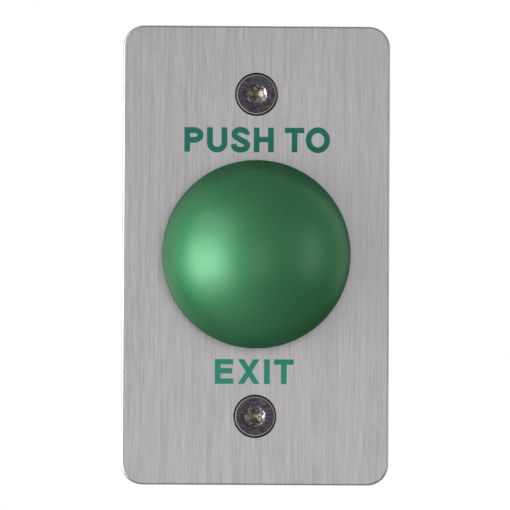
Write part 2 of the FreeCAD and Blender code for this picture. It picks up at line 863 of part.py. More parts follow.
def make_contact_spring(doc, name, front, back, offset):
    body = new_body(doc, name)
    radius = "peg_diameter / 2 + contact_spring_side_gap + contact_spring_wire / 2"
    coil(body, radius, "contact_spring_wire", front, back, "contact_spring_turns")
    body.setExpression("Placement.Base.z", cells(offset))
    return body


def make_terminal(doc, name, side, level, arm_front, arm_back):
    """A bent strip: an arm to the bridge, a leg through the base and a pad for the screw.
    side is 1 or -1 along X and level is 1 or -1 along Z."""
    body = new_body(doc, name)
    bend = "strip_bend_radius"
    outer_bend = "strip_bend_radius + strip_thickness"
    low = "strip_low" if level > 0 else "-strip_high"
    profile = [
        ("strip_arm_end", arm_front),
        (f"strip_outer - ({outer_bend})", arm_front, f"strip_inner - {bend}", f"{arm_back} + {bend}"),
        ("strip_outer", f"{arm_back} + {bend}"),
        ("strip_outer", "pad_back"),
        ("strip_inner", "pad_back"),
        ("strip_inner", f"{arm_back} + {bend}", f"strip_inner - {bend}", f"{arm_back} + {bend}"),
        (f"strip_inner - {bend}", arm_back),
        ("strip_arm_end", arm_back),
    ]
    mirrored = [
        tuple(f"{side} * ({text})" if place % 2 == 0 else text for place, text in enumerate(corner))
        for corner in profile
    ]
    sketch = sketch_on(body, "XY_Plane", low, [outline(*mirrored)])
    strip = body.newObject("PartDesign::Pad", f"{name}_strip")
    strip.Profile = sketch
    strip.setExpression("Length", cells("strip_width"))
    doc.recompute()
    pad = [
        ("pad_low", "pad_low"),
        ("strip_outer", "pad_low"),
        ("strip_outer", "pad_side_end", "0", "0"),
        ("pad_top_end", "pad_high"),
        ("pad_low", "pad_high"),
    ]
    signs = (side, level, side, level)
    turned_pad = [
        tuple(f"{sign} * ({text})" for sign, text in zip(signs, corner)) for corner in pad
    ]
    slab(body, "recess_floor", "pad_back", outline(*turned_pad))
    doc.recompute()
    hollow(
        body,
        "recess_floor",
        "pad_back",
        circle(
            f"{side} * terminal_offset",
            f"{level} * terminal_offset",
            "terminal_screw_diameter / 2 + terminal_thread_gap",
        ),
    )
    return body


def quarters():
    """The four signs of x and z, one pair for each terminal."""
    return [(side, level) for level in (1, -1) for side in (-1, 1)]


def make_base_housing(doc):
    """The moulded base: a spigot in the barrel, the contact chamber and, behind its floor,
    a recess that a cross of barriers splits into four terminals."""
    body = new_body(doc, "base_housing")
    turned(
        body,
        outline(
            ("chamber_radius", "cover_back"),
            ("spigot_radius", "cover_back"),
            ("spigot_radius", "barrel_end"),
            ("base_radius", "barrel_end"),
            ("base_radius", "base_end - base_end_bevel"),
            ("base_radius - base_end_bevel", "base_end"),
            ("rim_radius", "base_end"),
            ("rim_radius", "recess_floor"),
            ("0", "recess_floor"),
            ("0", "chamber_back"),
            ("chamber_radius", "chamber_back"),
        ),
    )
    doc.recompute()
    notches = [
        rectangle(
            f"{side} * (rim_radius - base_rim_wall)" if side > 0 else "-(base_radius + base_rim_wall)",
            "base_radius + base_rim_wall" if side > 0 else "-(rim_radius - base_rim_wall)",
            f"{level} * terminal_offset - wire_notch_width / 2",
            f"{level} * terminal_offset + wire_notch_width / 2",
        )
        for side, level in quarters()
    ]
    hollow(body, "pad_back", "base_end", *notches)
    doc.recompute()
    half = "barrier_width / 2"
    reach = "rim_radius + base_rim_wall / 2"
    slab(
        body,
        "recess_floor - base_floor / 2",
        "base_end",
        outline(
            (half, half),
            (reach, half),
            (reach, f"-{half}"),
            (half, f"-{half}"),
            (half, f"-({reach})"),
            (f"-{half}", f"-({reach})"),
            (f"-{half}", f"-{half}"),
            (f"-({reach})", f"-{half}"),
            (f"-({reach})", half),
            (f"-{half}", half),
            (f"-{half}", reach),
            (half, reach),
        ),
    )
    doc.recompute()
    slots = []
    for side, level in quarters():
        near = "strip_inner - strip_slot_gap"
        far = "strip_outer + strip_slot_gap"
        low = "strip_low - strip_slot_gap"
        high = "strip_high + strip_slot_gap"
        slots.append(
            outline(
                (f"{side} * ({near})", f"{level} * ({low})"),
                (f"{side} * ({far})", f"{level} * ({low})"),
                (f"{side} * ({far})", f"{level} * ({high})"),
                (f"{side} * ({near})", f"{level} * ({high})"),
            )
        )
    hollow(body, "chamber_back", "recess_floor", *slots)
    doc.recompute()
    reliefs = [
        circle(
            f"{side} * terminal_offset",
            f"{level} * terminal_offset",
            "terminal_screw_diameter / 2 + relief_hole_gap",
        )
        for side, level in quarters()
    ]
    hollow(body, "terminal_screw_tip - relief_hole_spare", "recess_floor", *reliefs)
    return body


def make_terminal_screws(doc):
    """Four slotted screws, each through its wire clamp into the pad of a terminal."""
    body = doc.addObject("PartDesign::Body", "terminal_screw")
    head = "terminal_head_diameter / 2"
    rounding = "terminal_head_rounding"
    turned(
        body,
        outline(
            ("0", "terminal_screw_tip"),
            ("terminal_screw_diameter / 2", "terminal_screw_tip"),
            ("terminal_screw_diameter / 2", "clamp_back"),
            (head, "clamp_back"),
            (
                head,
                f"terminal_head_back - {rounding}",
                f"{head} - {rounding}",
                f"terminal_head_back - {rounding}",
            ),
            (f"{head} - {rounding}", "terminal_head_back"),
            ("0", "terminal_head_back"),
        ),
    )
    doc.recompute()
    half = "terminal_slot_width / 2"
    slot = rectangle(f"-{half}", half, "-terminal_head_diameter", "terminal_head_diameter")
    hollow(body, "terminal_head_back - terminal_slot_depth", "terminal_head_back", slot)
    places = []
    for number, (side, level) in enumerate(quarters()):
        x = f"{side} * terminal_offset"
        z = f"{level} * terminal_offset"
        places.append((x, z, f"first_slot_turn + {number} * slot_turn_step"))
    return copies(doc, "terminal_screws", body, places)


def make_wire_clamps(doc):
    """Four square clamp plates with round corners, one under each terminal screw."""
    body = doc.addObject("PartDesign::Body", "wire_clamp")
    half = "clamp_width / 2"
    plate = rounded_rectangle(half, half, "clamp_corner_radius")
    hole = circle("0", "0", "terminal_screw_diameter / 2 + relief_hole_gap")
    slab(body, "pad_back", "clamp_back", plate, hole)
    places = [
        (f"{side} * terminal_offset", f"{level} * terminal_offset", "0")
        for side, level in quarters()
    ]
    return copies(doc, "wire_clamps", body, places)


def make_contacts(doc):
    """The two bridges with their tips and springs, the fixed tips and the terminals."""
    closed = ("window_offset", "closed_arm_front", "closed_arm_back")
    opened = ("-window_offset", "open_arm_front", "open_arm_back")
    moving_tips = {
        "nc_bridge_tips": ("window_offset", "closed_bridge_front - tip_height"),
        "no_bridge_tips": ("-window_offset", "window_back"),
    }
    parts = [
        make_bridge(doc, "nc_bridge", "closed_bridge_front", closed[0]),
        make_bridge(doc, "no_bridge", "open_bridge_front", opened[0]),
        make_contact_spring(
            doc, "nc_contact_spring", "closed_bridge_back", "window_back", closed[0]
        ),
        make_contact_spring(
            doc, "no_contact_spring", "window_front", "open_bridge_front", opened[0]
        ),
    ]
    for name, (offset, front) in moving_tips.items():
        spots = [(f"{side} * tip_offset", offset, front) for side in (-1, 1)]
        parts.append(make_tips(doc, name, spots))
    fixed = [
        (f"{side} * tip_offset", offset, front)
        for offset, front in (
            (closed[0], "closed_arm_back"),
            (opened[0], "open_arm_front - tip_height"),
        )
        for side in (-1, 1)
    ]
    parts.append(make_tips(doc, "fixed_contact_tips", fixed))
    for kind, level, arm in (("nc", 1, closed), ("no", -1, opened)):
        for hand, side in (("left", -1), ("right", 1)):
            name = f"{kind}_terminal_{hand}"
            parts.append(make_terminal(doc, name, side, level, arm[1], arm[2]))
    return parts


def make_sub_parts(doc):
    """Every sub-part, from the plate back to the terminals."""
    return [
        make_face_plate(doc),
        make_mounting_screws(doc),
        make_flange_gasket(doc),
        make_barrel(doc),
        make_lock_washer(doc),
        make_hex_nut(doc),
        make_dome_cap(doc),
        make_plunger(doc),
        make_plunger_seal(doc),
        make_return_spring(doc),
        make_chamber_cover(doc),
        make_contact_carrier(doc),
        *make_contacts(doc),
        make_base_housing(doc),
        make_terminal_screws(doc),
        make_wire_clamps(doc),
    ]


def check(doc, sub_parts):
    """Raises if any object failed, or any sub-part has no sound solid shape."""
    for item in doc.Objects:
        if {"Invalid", "Error"} & set(item.State):
            raise RuntimeError(f"{item.Label} is {item.State}")
        if item.TypeId == "Sketcher::SketchObject" and not item.FullyConstrained:
            raise RuntimeError(f"{item.Label} isn't fully constrained")
    for part in sub_parts:
        if part.Shape.isNull() or not part.Shape.isValid() or not part.Shape.Solids:
            raise RuntimeError(f"{part.Label} has no sound solid")


def main():
    doc = FreeCAD.newDocument("door_exit_button")
    make_sheet(doc)
    make_places(doc)
    sub_parts = make_sub_parts(doc)
    doc.recompute()
    check(doc, sub_parts)
    os.makedirs("parts", exist_ok=True)
    for part in sub_parts:
        part.Shape.exportStep(f"parts/{part.Label}.step")
        print(part.Label, len(part.Shape.Solids), round(part.Shape.Volume, 2))


main()
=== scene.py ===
"""Door exit button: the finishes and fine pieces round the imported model.

The plate stands upright in the XZ plane with its back on y = 0, its front towards -Y and
+Z up, and the origin lies half way between its two screws. Every length is in metres.
Pieces turned about an axis along Y use one angle, clockwise from +Z as seen from the front.
"""

import math

import bmesh
import bpy
import numpy as np
from bpy.props import FloatProperty, FloatVectorProperty, PointerProperty
from mathutils import Matrix, Vector


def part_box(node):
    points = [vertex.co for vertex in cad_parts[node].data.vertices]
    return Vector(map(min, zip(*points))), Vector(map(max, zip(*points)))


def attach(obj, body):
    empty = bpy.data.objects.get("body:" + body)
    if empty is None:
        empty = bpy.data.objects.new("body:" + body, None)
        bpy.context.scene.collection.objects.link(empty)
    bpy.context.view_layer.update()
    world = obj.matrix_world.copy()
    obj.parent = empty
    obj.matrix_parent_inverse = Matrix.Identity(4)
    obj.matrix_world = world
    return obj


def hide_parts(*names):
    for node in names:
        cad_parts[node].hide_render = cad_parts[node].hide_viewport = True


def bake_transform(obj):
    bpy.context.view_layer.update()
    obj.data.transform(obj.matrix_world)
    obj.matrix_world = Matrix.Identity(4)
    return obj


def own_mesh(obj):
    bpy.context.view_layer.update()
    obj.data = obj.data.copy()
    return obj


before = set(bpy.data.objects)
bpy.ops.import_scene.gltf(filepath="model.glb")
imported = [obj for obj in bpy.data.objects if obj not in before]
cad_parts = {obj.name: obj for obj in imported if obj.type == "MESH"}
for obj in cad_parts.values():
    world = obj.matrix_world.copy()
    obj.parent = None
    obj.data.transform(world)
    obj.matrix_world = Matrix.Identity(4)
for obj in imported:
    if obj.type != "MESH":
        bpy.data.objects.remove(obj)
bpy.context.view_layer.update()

bl_info = {
    "name": "Door exit button",
    "version": (1, 0, 0),
    "blender": (4, 5, 0),
    "location": "3D View > Sidebar > Exit Button",
    "description": "Finishes and fine pieces of a domed push button on a brushed plate",
    "category": "Object",
}

MM = 0.001
MICRON = 1e-6
MERGE_DISTANCE = 0.1 * MICRON
SHARP_ANGLE = math.radians(35)

# Places that come from the frame
PLATE_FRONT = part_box("face_plate")[0].y
SCREW_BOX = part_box("mounting_screws")
SCREW_HEAD_RADIUS = SCREW_BOX[1].x
SCREW_HEIGHT = SCREW_BOX[1].z - SCREW_HEAD_RADIUS
BARREL_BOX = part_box("barrel")

# Depth of a wall screw's socket, below its face
SOCKET_FLOOR = 1.1 * MM


# Meshes


def add_piece(name, grids, finish, body="", replaced=()):
    """A mesh from grids of points, which rides on a body if one is named. Points that meet
    are made one, which closes seams and poles, and every face then points outwards."""
    points, faces = joined(grids)
    mesh = bpy.data.meshes.new(name)
    mesh.from_pydata(points, [], faces)
    shell = bmesh.new()
    shell.from_mesh(mesh)
    bmesh.ops.remove_doubles(shell, verts=shell.verts, dist=MERGE_DISTANCE)
    bmesh.ops.recalc_face_normals(shell, faces=shell.faces)
    shell.to_mesh(mesh)
    shell.free()
    mesh.shade_smooth()
    mesh.set_sharp_from_angle(angle=SHARP_ANGLE)
    mesh.materials.append(finish)
    piece = bpy.data.objects.new(name, mesh)
    bpy.context.scene.collection.objects.link(piece)
    if body:
        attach(piece, body)
    if replaced:
        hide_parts(*replaced)
    return piece


def joined(grids):
    """The points of all grids, and the four corners of each of their cells."""
    points = []
    faces = []
    first = 0
    for grid in grids:
        rows, columns = grid.shape[:2]
        row, column = np.meshgrid(np.arange(rows - 1), np.arange(columns - 1), indexing="ij")
        corner = first + (row * columns + column).ravel()
        faces.append(np.stack([corner, corner + 1, corner + columns + 1, corner + columns], 1))
        points.append(grid.reshape(-1, 3))
        first += rows * columns
    return np.concatenate(points), np.concatenate(faces)


def around(radius, depth, angle, height=0.0):
    """Points about an axis along Y at a height: x is the radius times the sine of the angle,
    y the depth, and z the height plus the radius times the cosine."""
    x, y, z = np.broadcast_arrays(radius * np.sin(angle), depth, radius * np.cos(angle))
    return np.stack([x, y, height + z], axis=-1)


def full_turn(steps):
    """Angles from zero all the way round, the last at the same place as the first."""
    return np.linspace(0, 2 * math.pi, steps + 1)


def rows_of(profile, angle):
    """A profile of radii and depths as two grids, the same at every angle."""
    profile = np.array(profile)
    level = np.ones_like(angle)
    return profile[:, :1] * level, profile[:, 1:] * level


def stacked(*parts):
    """Radii and depths of the parts of a profile, one part after another."""
    return [np.concatenate(rows) for rows in zip(*parts)]


def rounding(centre, radius, start, end, steps):
    """Points of an arc in a profile: the centre plus the radius times the cosine and the
    sine of an angle that runs evenly from start to end, in degrees."""
    angle = np.radians(np.linspace(start, end, steps + 1))
    return np.stack([centre[0] + radius * np.cos(angle), centre[1] + radius * np.sin(angle)], 1)


# Outline of a thread with sixty degree sides: places as shares of a pitch, and how much of
# the thread's depth is cut away at each
THREAD_EDGES = np.array([0, 1 / 8, 1 / 2, 5 / 8, 1])
THREAD_CUTS = np.array([0, 0, 1, 1, 0])
# Depth of a thread and the length over which it starts, as shares of its pitch
THREAD_DEPTH = 0.61
THREAD_START = 0.5


def thread(crest, pitch, start, end, bevel, angle):
    """Radius and depth of a right-hand thread. A row of points keeps to one edge of the
    thread, so that its depth grows by one pitch a turn, and is held between start and end,
    where it keeps to the thread's own outline. The cut deepens evenly from the start, and
    a bevel ends the crest."""
    root = crest - THREAD_DEPTH * pitch
    turn = np.arange(-1, math.ceil((end - start) / pitch) + 1)[:, None]
    row = (turn + THREAD_EDGES[:-1]).reshape(-1, 1)
    lead = angle / (2 * math.pi)
    depth = np.clip(start + (row + lead) * pitch, start, end)
    cut = np.interp(((depth - start) / pitch - lead) % 1, THREAD_EDGES, THREAD_CUTS)
    cut = cut * np.clip((depth - start) / (THREAD_START * pitch), 0, 1)
    bevelled = crest - np.clip(depth - end + bevel, 0, bevel)
    return np.minimum(crest - cut * (crest - root), np.maximum(bevelled, root)), depth


def six_lobes(tip, waist, lobe, angle):
    """Radius of a six-lobe outline at each angle. Its lobes are arcs about six centres, and
    the arcs between them bulge inwards and meet them without a corner."""
    lobe_centre = tip - lobe
    slant = math.cos(math.pi / 6)
    flute = (lobe_centre**2 + waist**2 - 2 * lobe_centre * waist * slant - lobe**2) / (
        2 * (lobe - waist + lobe_centre * slant)
    )
    flute_centre = waist + flute
    towards = np.array([flute_centre * slant - lobe_centre, flute_centre / 2])
    touch = np.array([lobe_centre, 0]) + lobe * towards / np.hypot(*towards)
    off_lobe = np.abs((angle + math.pi / 6) % (math.pi / 3) - math.pi / 6)
    off_flute = math.pi / 6 - off_lobe
    lobe_side = np.maximum(lobe**2 - (lobe_centre * np.sin(off_lobe)) ** 2, 0)
    flute_side = np.maximum(flute**2 - (flute_centre * np.sin(off_flute)) ** 2, 0)
    return np.where(
        off_lobe < math.atan2(touch[1], touch[0]),
        lobe_centre * np.cos(off_lobe) + np.sqrt(lobe_side),
        flute_centre * np.cos(off_flute) - np.sqrt(flute_side),
    )


def unit(vectors):
    """Vectors of the same directions and a length of one."""
    return vectors / np.linalg.norm(vectors, axis=-1, keepdims=True)


# A spring is flatter over this part of a turn at each end, where its depth grows at this
# share of the mean rate
CLOSED_TURN = 0.5
CLOSED_TURN_RISE = 0.4


def spring(coil, wire, front, back, turns, height=0.0, steps=48, sides=12):
    """A coil spring of round wire. At each point of a coil whose depth grows evenly, and
    more slowly near its ends, a ring of the wire's radius stands square to the coil."""
    share = np.linspace(0, 1, int(turns * steps) + 1)
    angle = 2 * math.pi * turns * share
    closed = CLOSED_TURN / turns
    open_share = np.clip((share - closed) / (1 - 2 * closed), 0, 1)
    rise = CLOSED_TURN_RISE * share + (1 - CLOSED_TURN_RISE) * open_share
    depth = front + wire / 2 + rise * (back - front - wire)
    path = around(coil, depth, angle, height)
    outward = around(1.0, 0.0, angle)
    along = unit(np.cross(np.gradient(path, axis=0), outward))
    ring = full_turn(sides)[None, :, None]
    skin = path[:, None] + wire / 2 * (
        np.cos(ring) * outward[:, None] + np.sin(ring) * along[:, None]
    )
    caps = [np.repeat(path[end][None, None], sides + 1, axis=1) for end in (0, -1)]
    return np.concatenate([caps[0], skin, caps[1]])


# Letters. A stroke is a row of pairs of points, its left and right edges. Both are shares of
# the letter's height, with x from the letter's left edge and z from its foot.

# Widths of upright strokes, of level ones and of the level parts of round ones, and how far
# a round letter stands past the height of a square one
UPRIGHT = 0.232
LEVEL = 0.216
ROUND_LEVEL = 0.236
OVERSHOOT = 0.024
SAME_POINT = 1e-6


def stroke(path, widths, across):
    """The edges that stand half of the width to either side of a path."""
    side = np.asarray(across) * np.reshape(widths, (-1, 1)) / 2
    return np.stack([path + side, path - side], axis=1)


def bar(start, end, width):
    """A straight stroke with square ends."""
    path = np.array([start, end], float)
    run = unit(path[1] - path[0])
    return stroke(path, width, (-run[1], run[0]))


def stem(x):
    """An upright stroke of full height."""
    return bar((x, 0), (x, 1), UPRIGHT)


def bend(centre, radii, start, end, steps=32):
    """An elliptic stroke between two angles in degrees, from +X towards +Z. It is as wide as
    an upright where it runs up or down, and a little wider than a level bar where it runs
    across."""
    angle = np.radians(np.linspace(start, end, steps + 1))
    spoke = np.stack([np.cos(angle), np.sin(angle)], axis=1)
    widths = UPRIGHT * spoke[:, 0] ** 2 + ROUND_LEVEL * spoke[:, 1] ** 2
    across = unit(spoke / radii) * np.sign(start - end)
    return stroke(centre + spoke * radii, widths, across)


def chain(*strokes):
    """Strokes that follow on from one another as one, without their repeated points."""
    edges = np.concatenate(strokes)
    moved = np.abs(np.diff(edges, axis=0)).max(axis=(1, 2)) > SAME_POINT
    return edges[np.append(True, moved)]


def ribbon(edges, front, back):
    """A stroke as a flat bar: its edges on the front and again on the back. An open stroke
    closes on the middle of each end."""
    left, right = edges[:, 0], edges[:, 1]
    corners = ((left, front), (right, front), (right, back), (left, back), (left, front))
    skin = np.stack([np.insert(edge, 1, depth, axis=1) for edge, depth in corners], axis=1)
    if np.allclose(skin[0], skin[-1]):
        return skin
    caps = [np.repeat(skin[end, :4].mean(0)[None, None], 5, axis=1) for end in (0, -1)]
    return np.concatenate([caps[0], skin, caps[1]])


def letter_p(width):
    foot = 0.485
    top = 1 - ROUND_LEVEL / 2
    reach = width / 2
    middle = (top + foot) / 2
    bowl = chain(
        bar((UPRIGHT, top), (reach, top), ROUND_LEVEL),
        bend((reach, middle), (width - UPRIGHT / 2 - reach, top - middle), 90, -90),
        bar((reach, foot), (UPRIGHT, foot), ROUND_LEVEL),
    )
    return [stem(UPRIGHT / 2), bowl]


def letter_u(width):
    turn = 0.37
    left = UPRIGHT / 2
    right = width - left
    radii = ((right - left) / 2, turn + OVERSHOOT - ROUND_LEVEL / 2)
    loop = chain(
        bar((left, 1), (left, turn), UPRIGHT),
        bend((width / 2, turn), radii, 180, 360),
        bar((right, turn), (right, 1), UPRIGHT),
    )
    return [loop]


def letter_s(width):
    """Two open bends, one over the other, with a slanting spine between their ends, which
    are cut nearly level."""
    reach = (width - UPRIGHT) / 2
    top = 1 + OVERSHOOT - ROUND_LEVEL / 2
    foot = ROUND_LEVEL / 2 - OVERSHOOT
    spine_top = 0.55
    spine_foot = 0.45
    upper = (top + spine_top) / 2
    lower = (foot + spine_foot) / 2
    upper_reach = 0.92 * reach
    edges = chain(
        bend((width / 2, upper), (upper_reach, top - upper), 0, 235),
        bend((width / 2, lower), (reach, lower - foot), 55, -185),
    )
    upper_cut = (0.74, 0.69)
    lower_cut = (0.30, 0.36)
    edges[[0, -1], :, 1] = (upper_cut, lower_cut)
    return [edges]


def letter_h(width):
    middle = 0.51
    crossbar = bar((UPRIGHT, middle), (width - UPRIGHT, middle), LEVEL)
    return [stem(UPRIGHT / 2), stem(width - UPRIGHT / 2), crossbar]


def letter_t(width):
    top = 1 - LEVEL
    upright = bar((width / 2, 0), (width / 2, top), UPRIGHT)
    return [bar((0, top + LEVEL / 2), (width, top + LEVEL / 2), LEVEL), upright]


def letter_o(width):
    radii = ((width - UPRIGHT) / 2, 0.5 + OVERSHOOT - ROUND_LEVEL / 2)
    return [bend((width / 2, 0.5), radii, 0, 360, steps=72)]


def letter_e(width):
    # Height of each arm's middle, and how much of the letter's width it reaches
    places = ((LEVEL / 2, 1.0), (0.53, 0.94), (1 - LEVEL / 2, 0.98))
    arms = [bar((UPRIGHT, height), (reach * width, height), LEVEL) for height, reach in places]
    return [stem(UPRIGHT / 2), *arms]


def letter_x(width):
    """Two slanting strokes with level ends that cross in the middle."""
    breadth = 0.25
    left, right = breadth / 2, width - breadth / 2
    paths = (((left, 0), (right, 1)), ((left, 1), (right, 0)))
    return [stroke(np.array(path, float), breadth, (1, 0)) for path in paths]


def letter_i(width):
    return [stem(width / 2)]


# Each letter's strokes and its width
LETTERS = {
    "P": (letter_p, 0.77),
    "U": (letter_u, 0.82),
    "S": (letter_s, 0.78),
    "H": (letter_h, 0.81),
    "T": (letter_t, 0.79),
    "O": (letter_o, 0.985),
    "E": (letter_e, 0.753),
    "X": (letter_x, 0.88),
    "I": (letter_i, UPRIGHT),
}
WORD_SPACE = 0.30
# Two letters that stand closer than others do, and by how much
TUCKED_PAIR = "TO"
TUCK = 0.09


def word_strokes(words, gap):
    """The strokes of a line of words, each moved along by what stands before it, and the
    line's width."""
    strokes = []
    place = -gap
    before = ""
    for letter in words:
        if letter == " ":
            place += WORD_SPACE
            before = ""
            continue
        place += gap - TUCK * (before + letter == TUCKED_PAIR)
        make_letter, width = LETTERS[letter]
        strokes += [edges + (place, 0) for edges in make_letter(width)]
        place += width
        before = letter
    return strokes, place


# Finishes


class Wire:
    """A node's output. Arithmetic on wires and numbers adds Math nodes, in either order."""

    def __init__(self, finish, socket):
        self.finish = finish
        self.socket = socket

    def math(self, operation, *values):
        return self.finish.node("Math", dict(enumerate(values)), operation=operation)

    def __add__(self, other):
        return self.math("ADD", self, other)

    def __radd__(self, other):
        return self.math("ADD", other, self)

    def __sub__(self, other):
        return self.math("SUBTRACT", self, other)

    def __rsub__(self, other):
        return self.math("SUBTRACT", other, self)

    def __mul__(self, other):
        return self.math("MULTIPLY", self, other)

    def __rmul__(self, other):
        return self.math("MULTIPLY", other, self)

    def __truediv__(self, other):
        return self.math("DIVIDE", self, other)

    def __pow__(self, other):
        return self.math("POWER", self, other)

    def __abs__(self):
        return self.math("ABSOLUTE", self)

    def swing(self, amount):
        """How far a value from 0 to 1 is from its middle, times an amount."""
        return (self - 0.5) * amount

    def fade(self, low, high):
        """0 where the value is at low and 1 where it is at high, smoothly between them."""
        sockets = {"Value": self, "From Min": low, "From Max": high}
        return self.finish.node("MapRange", sockets, interpolation_type="SMOOTHSTEP")


# Places of the colour sockets on a Mix node
MIX_FACTOR, MIX_FIRST, MIX_SECOND, MIX_RESULT = 0, 6, 7, 2


class Finish:
    """A material whose nodes are written as Python expressions."""

    def __init__(self, name, tree=None):
        if tree is None:
            self.material = bpy.data.materials.new(name)
            self.material.use_nodes = True
            tree = self.material.node_tree
        self.tree = tree
        self.tree.nodes.clear()

    def node(self, kind, sockets, output=0, **settings):
        """Adds a node: its settings, then its sockets' values or links."""
        node = self.tree.nodes.new("ShaderNode" + kind)
        for name, setting in settings.items():
            setattr(node, name, setting)
        for name, value in sockets.items():
            if isinstance(value, Wire):
                self.tree.links.new(value.socket, node.inputs[name])
            else:
                node.inputs[name].default_value = value
        return Wire(self, node.outputs[output]) if node.outputs else None

    def place(self, stretch=(1, 1, 1), shift=(0, 0, 0)):
        """Object coordinates, stretched along each axis and then moved."""
        where = self.node("TexCoord", {}, output="Object")
        sockets = {"Vector": where, "Location": shift, "Scale": stretch}
        return self.node("Mapping", sockets)

    def axes(self):
        """The X, Y and Z of the Object coordinates."""
        where = self.place()
        return [self.node("SeparateXYZ", {0: where}, output=axis) for axis in range(3)]

    def radius(self, height=0.0):
        """The distance from an axis along Y at a height, or from a pair at that height
        above and below the origin."""
        x, _, z = self.axes()
        level = abs(z) - height
        return (x * x + level * level) ** 0.5

    def noise(self, size, detail=2.0, roughness=0.5, shift=0.0):
        """Noise from 0 to 1 with blobs of about this size, one length or one for each axis."""
        sizes = np.broadcast_to(size, 3)
        where = self.place(stretch=tuple(1 / sizes), shift=(shift, shift, shift))
        sockets = {"Vector": where, "Scale": 1.0, "Detail": detail, "Roughness": roughness}
        return self.node("TexNoise", sockets)

    def mix(self, factor, first, second):
        """A colour between two others."""
        sockets = {MIX_FACTOR: factor, MIX_FIRST: opaque(first), MIX_SECOND: opaque(second)}
        return self.node("Mix", sockets, MIX_RESULT, data_type="RGBA")

    def tint(self, colour, level):
        """A colour made lighter or darker by a level round 1."""
        return self.node("VectorMath", {0: plain(colour), "Scale": level}, operation="SCALE")

    def bump(self, height, distance):
        """The normal over a relief whose height of 1 stands as tall as the distance."""
        return self.node("Bump", {"Height": height, "Distance": distance})

    def surface(self, sockets):
        """Ends the material with one shader, and gives the material back."""
        sockets = {
            name: opaque(value) if name in COLOUR_SOCKETS else value
            for name, value in sockets.items()
        }
        shader = self.node("BsdfPrincipled", sockets)
        self.node("OutputMaterial", {"Surface": shader})
        return self.material


COLOUR_SOCKETS = ("Base Color", "Specular Tint")


def opaque(colour):
    """A colour for a socket that holds four numbers."""
    return colour if isinstance(colour, Wire) else (*colour, 1.0)


def plain(colour):
    """A colour for a socket that holds three numbers."""
    return colour if isinstance(colour, Wire) else tuple(colour)


def dress(finish, *nodes):
    """Gives CAD nodes a finish through their own material slots."""
    for node in nodes:
        for material_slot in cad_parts[node].material_slots:
            material_slot.material = finish


# Layers of brush marks, fine to broad: width and length in fine marks, the noise's detail,
# roughness and shift, and strength
BRUSH_MARKS = (
    (1.0, 36.0, 2.0, 0.6, 0.0, 1.4),
    (2.5, 110.0, 1.0, 0.5, 7.0, 0.65),
    (9.0, 300.0, 1.0, 0.5, 13.0, 0.22),
)
# Where the plate's countersinks end, out to its face and in to its back
COUNTERSINK_RADII = (4.02 * MM, 4.10 * MM)
COUNTERSINK_DEPTHS = (-0.15 * MM, -0.05 * MM)
# Dark colour painted into the countersinks' walls, as painted shade round the screw heads
COUNTERSINK_PAINTED_SHADE = (0.075, 0.062, 0.062)


def brushed_stainless(plate):
    """Rolled steel brushed straight up and down. Three layers of brush marks vary the colour
    and the roughness and stand in relief. The countersinks' walls are painted dark as
    painted shade."""
    finish = Finish("brushed_stainless")
    mark = plate.streak_width
    streak = sum(
        finish.noise((wide * mark, wide * mark, long * mark), *look).swing(strength)
        for wide, long, *look, strength in BRUSH_MARKS
    )
    cloud = finish.noise(14 * MM, shift=5.0)
    level = 1 + streak * plate.streak_strength + cloud.swing(0.06)
    # Painted shade: the countersinks' walls round the screw heads are painted dark
    in_hole = 1 - finish.radius(SCREW_HEIGHT).fade(*COUNTERSINK_RADII)
    countersink_painted_shade = in_hole * (1 - finish.axes()[1].fade(*COUNTERSINK_DEPTHS))
    steel = finish.tint(plate.steel_colour, level)
    return finish.surface({
        "Base Color": finish.mix(countersink_painted_shade, steel, COUNTERSINK_PAINTED_SHADE),
        "Metallic": 1.0,
        "Roughness": plate.steel_roughness + streak * 0.10,
        "Anisotropic": 0.35,
        "Normal": finish.bump(streak, 1.2 * MICRON),
    })


# Where the zones of a wall screw's finish end: depths below its face, radii from its axis,
# and radii from its socket's rim
FACE_DEPTHS = (0.01 * MM, 0.03 * MM)
WALL_DEPTHS = (0.36 * MM, 0.48 * MM)
FLOOR_DEPTHS = (SOCKET_FLOOR - 0.06 * MM, SOCKET_FLOOR - 0.01 * MM)
HEAD_DEPTHS = (2.2 * MM, 2.4 * MM)
BEVEL_RADII = (3.50 * MM, 3.54 * MM)
SOCKET_EDGE = (-0.06 * MM, -0.02 * MM)
FACE_EDGE = (-0.02 * MM, 0.03 * MM)
MOUTH_EDGE = (0.02 * MM, 0.06 * MM)


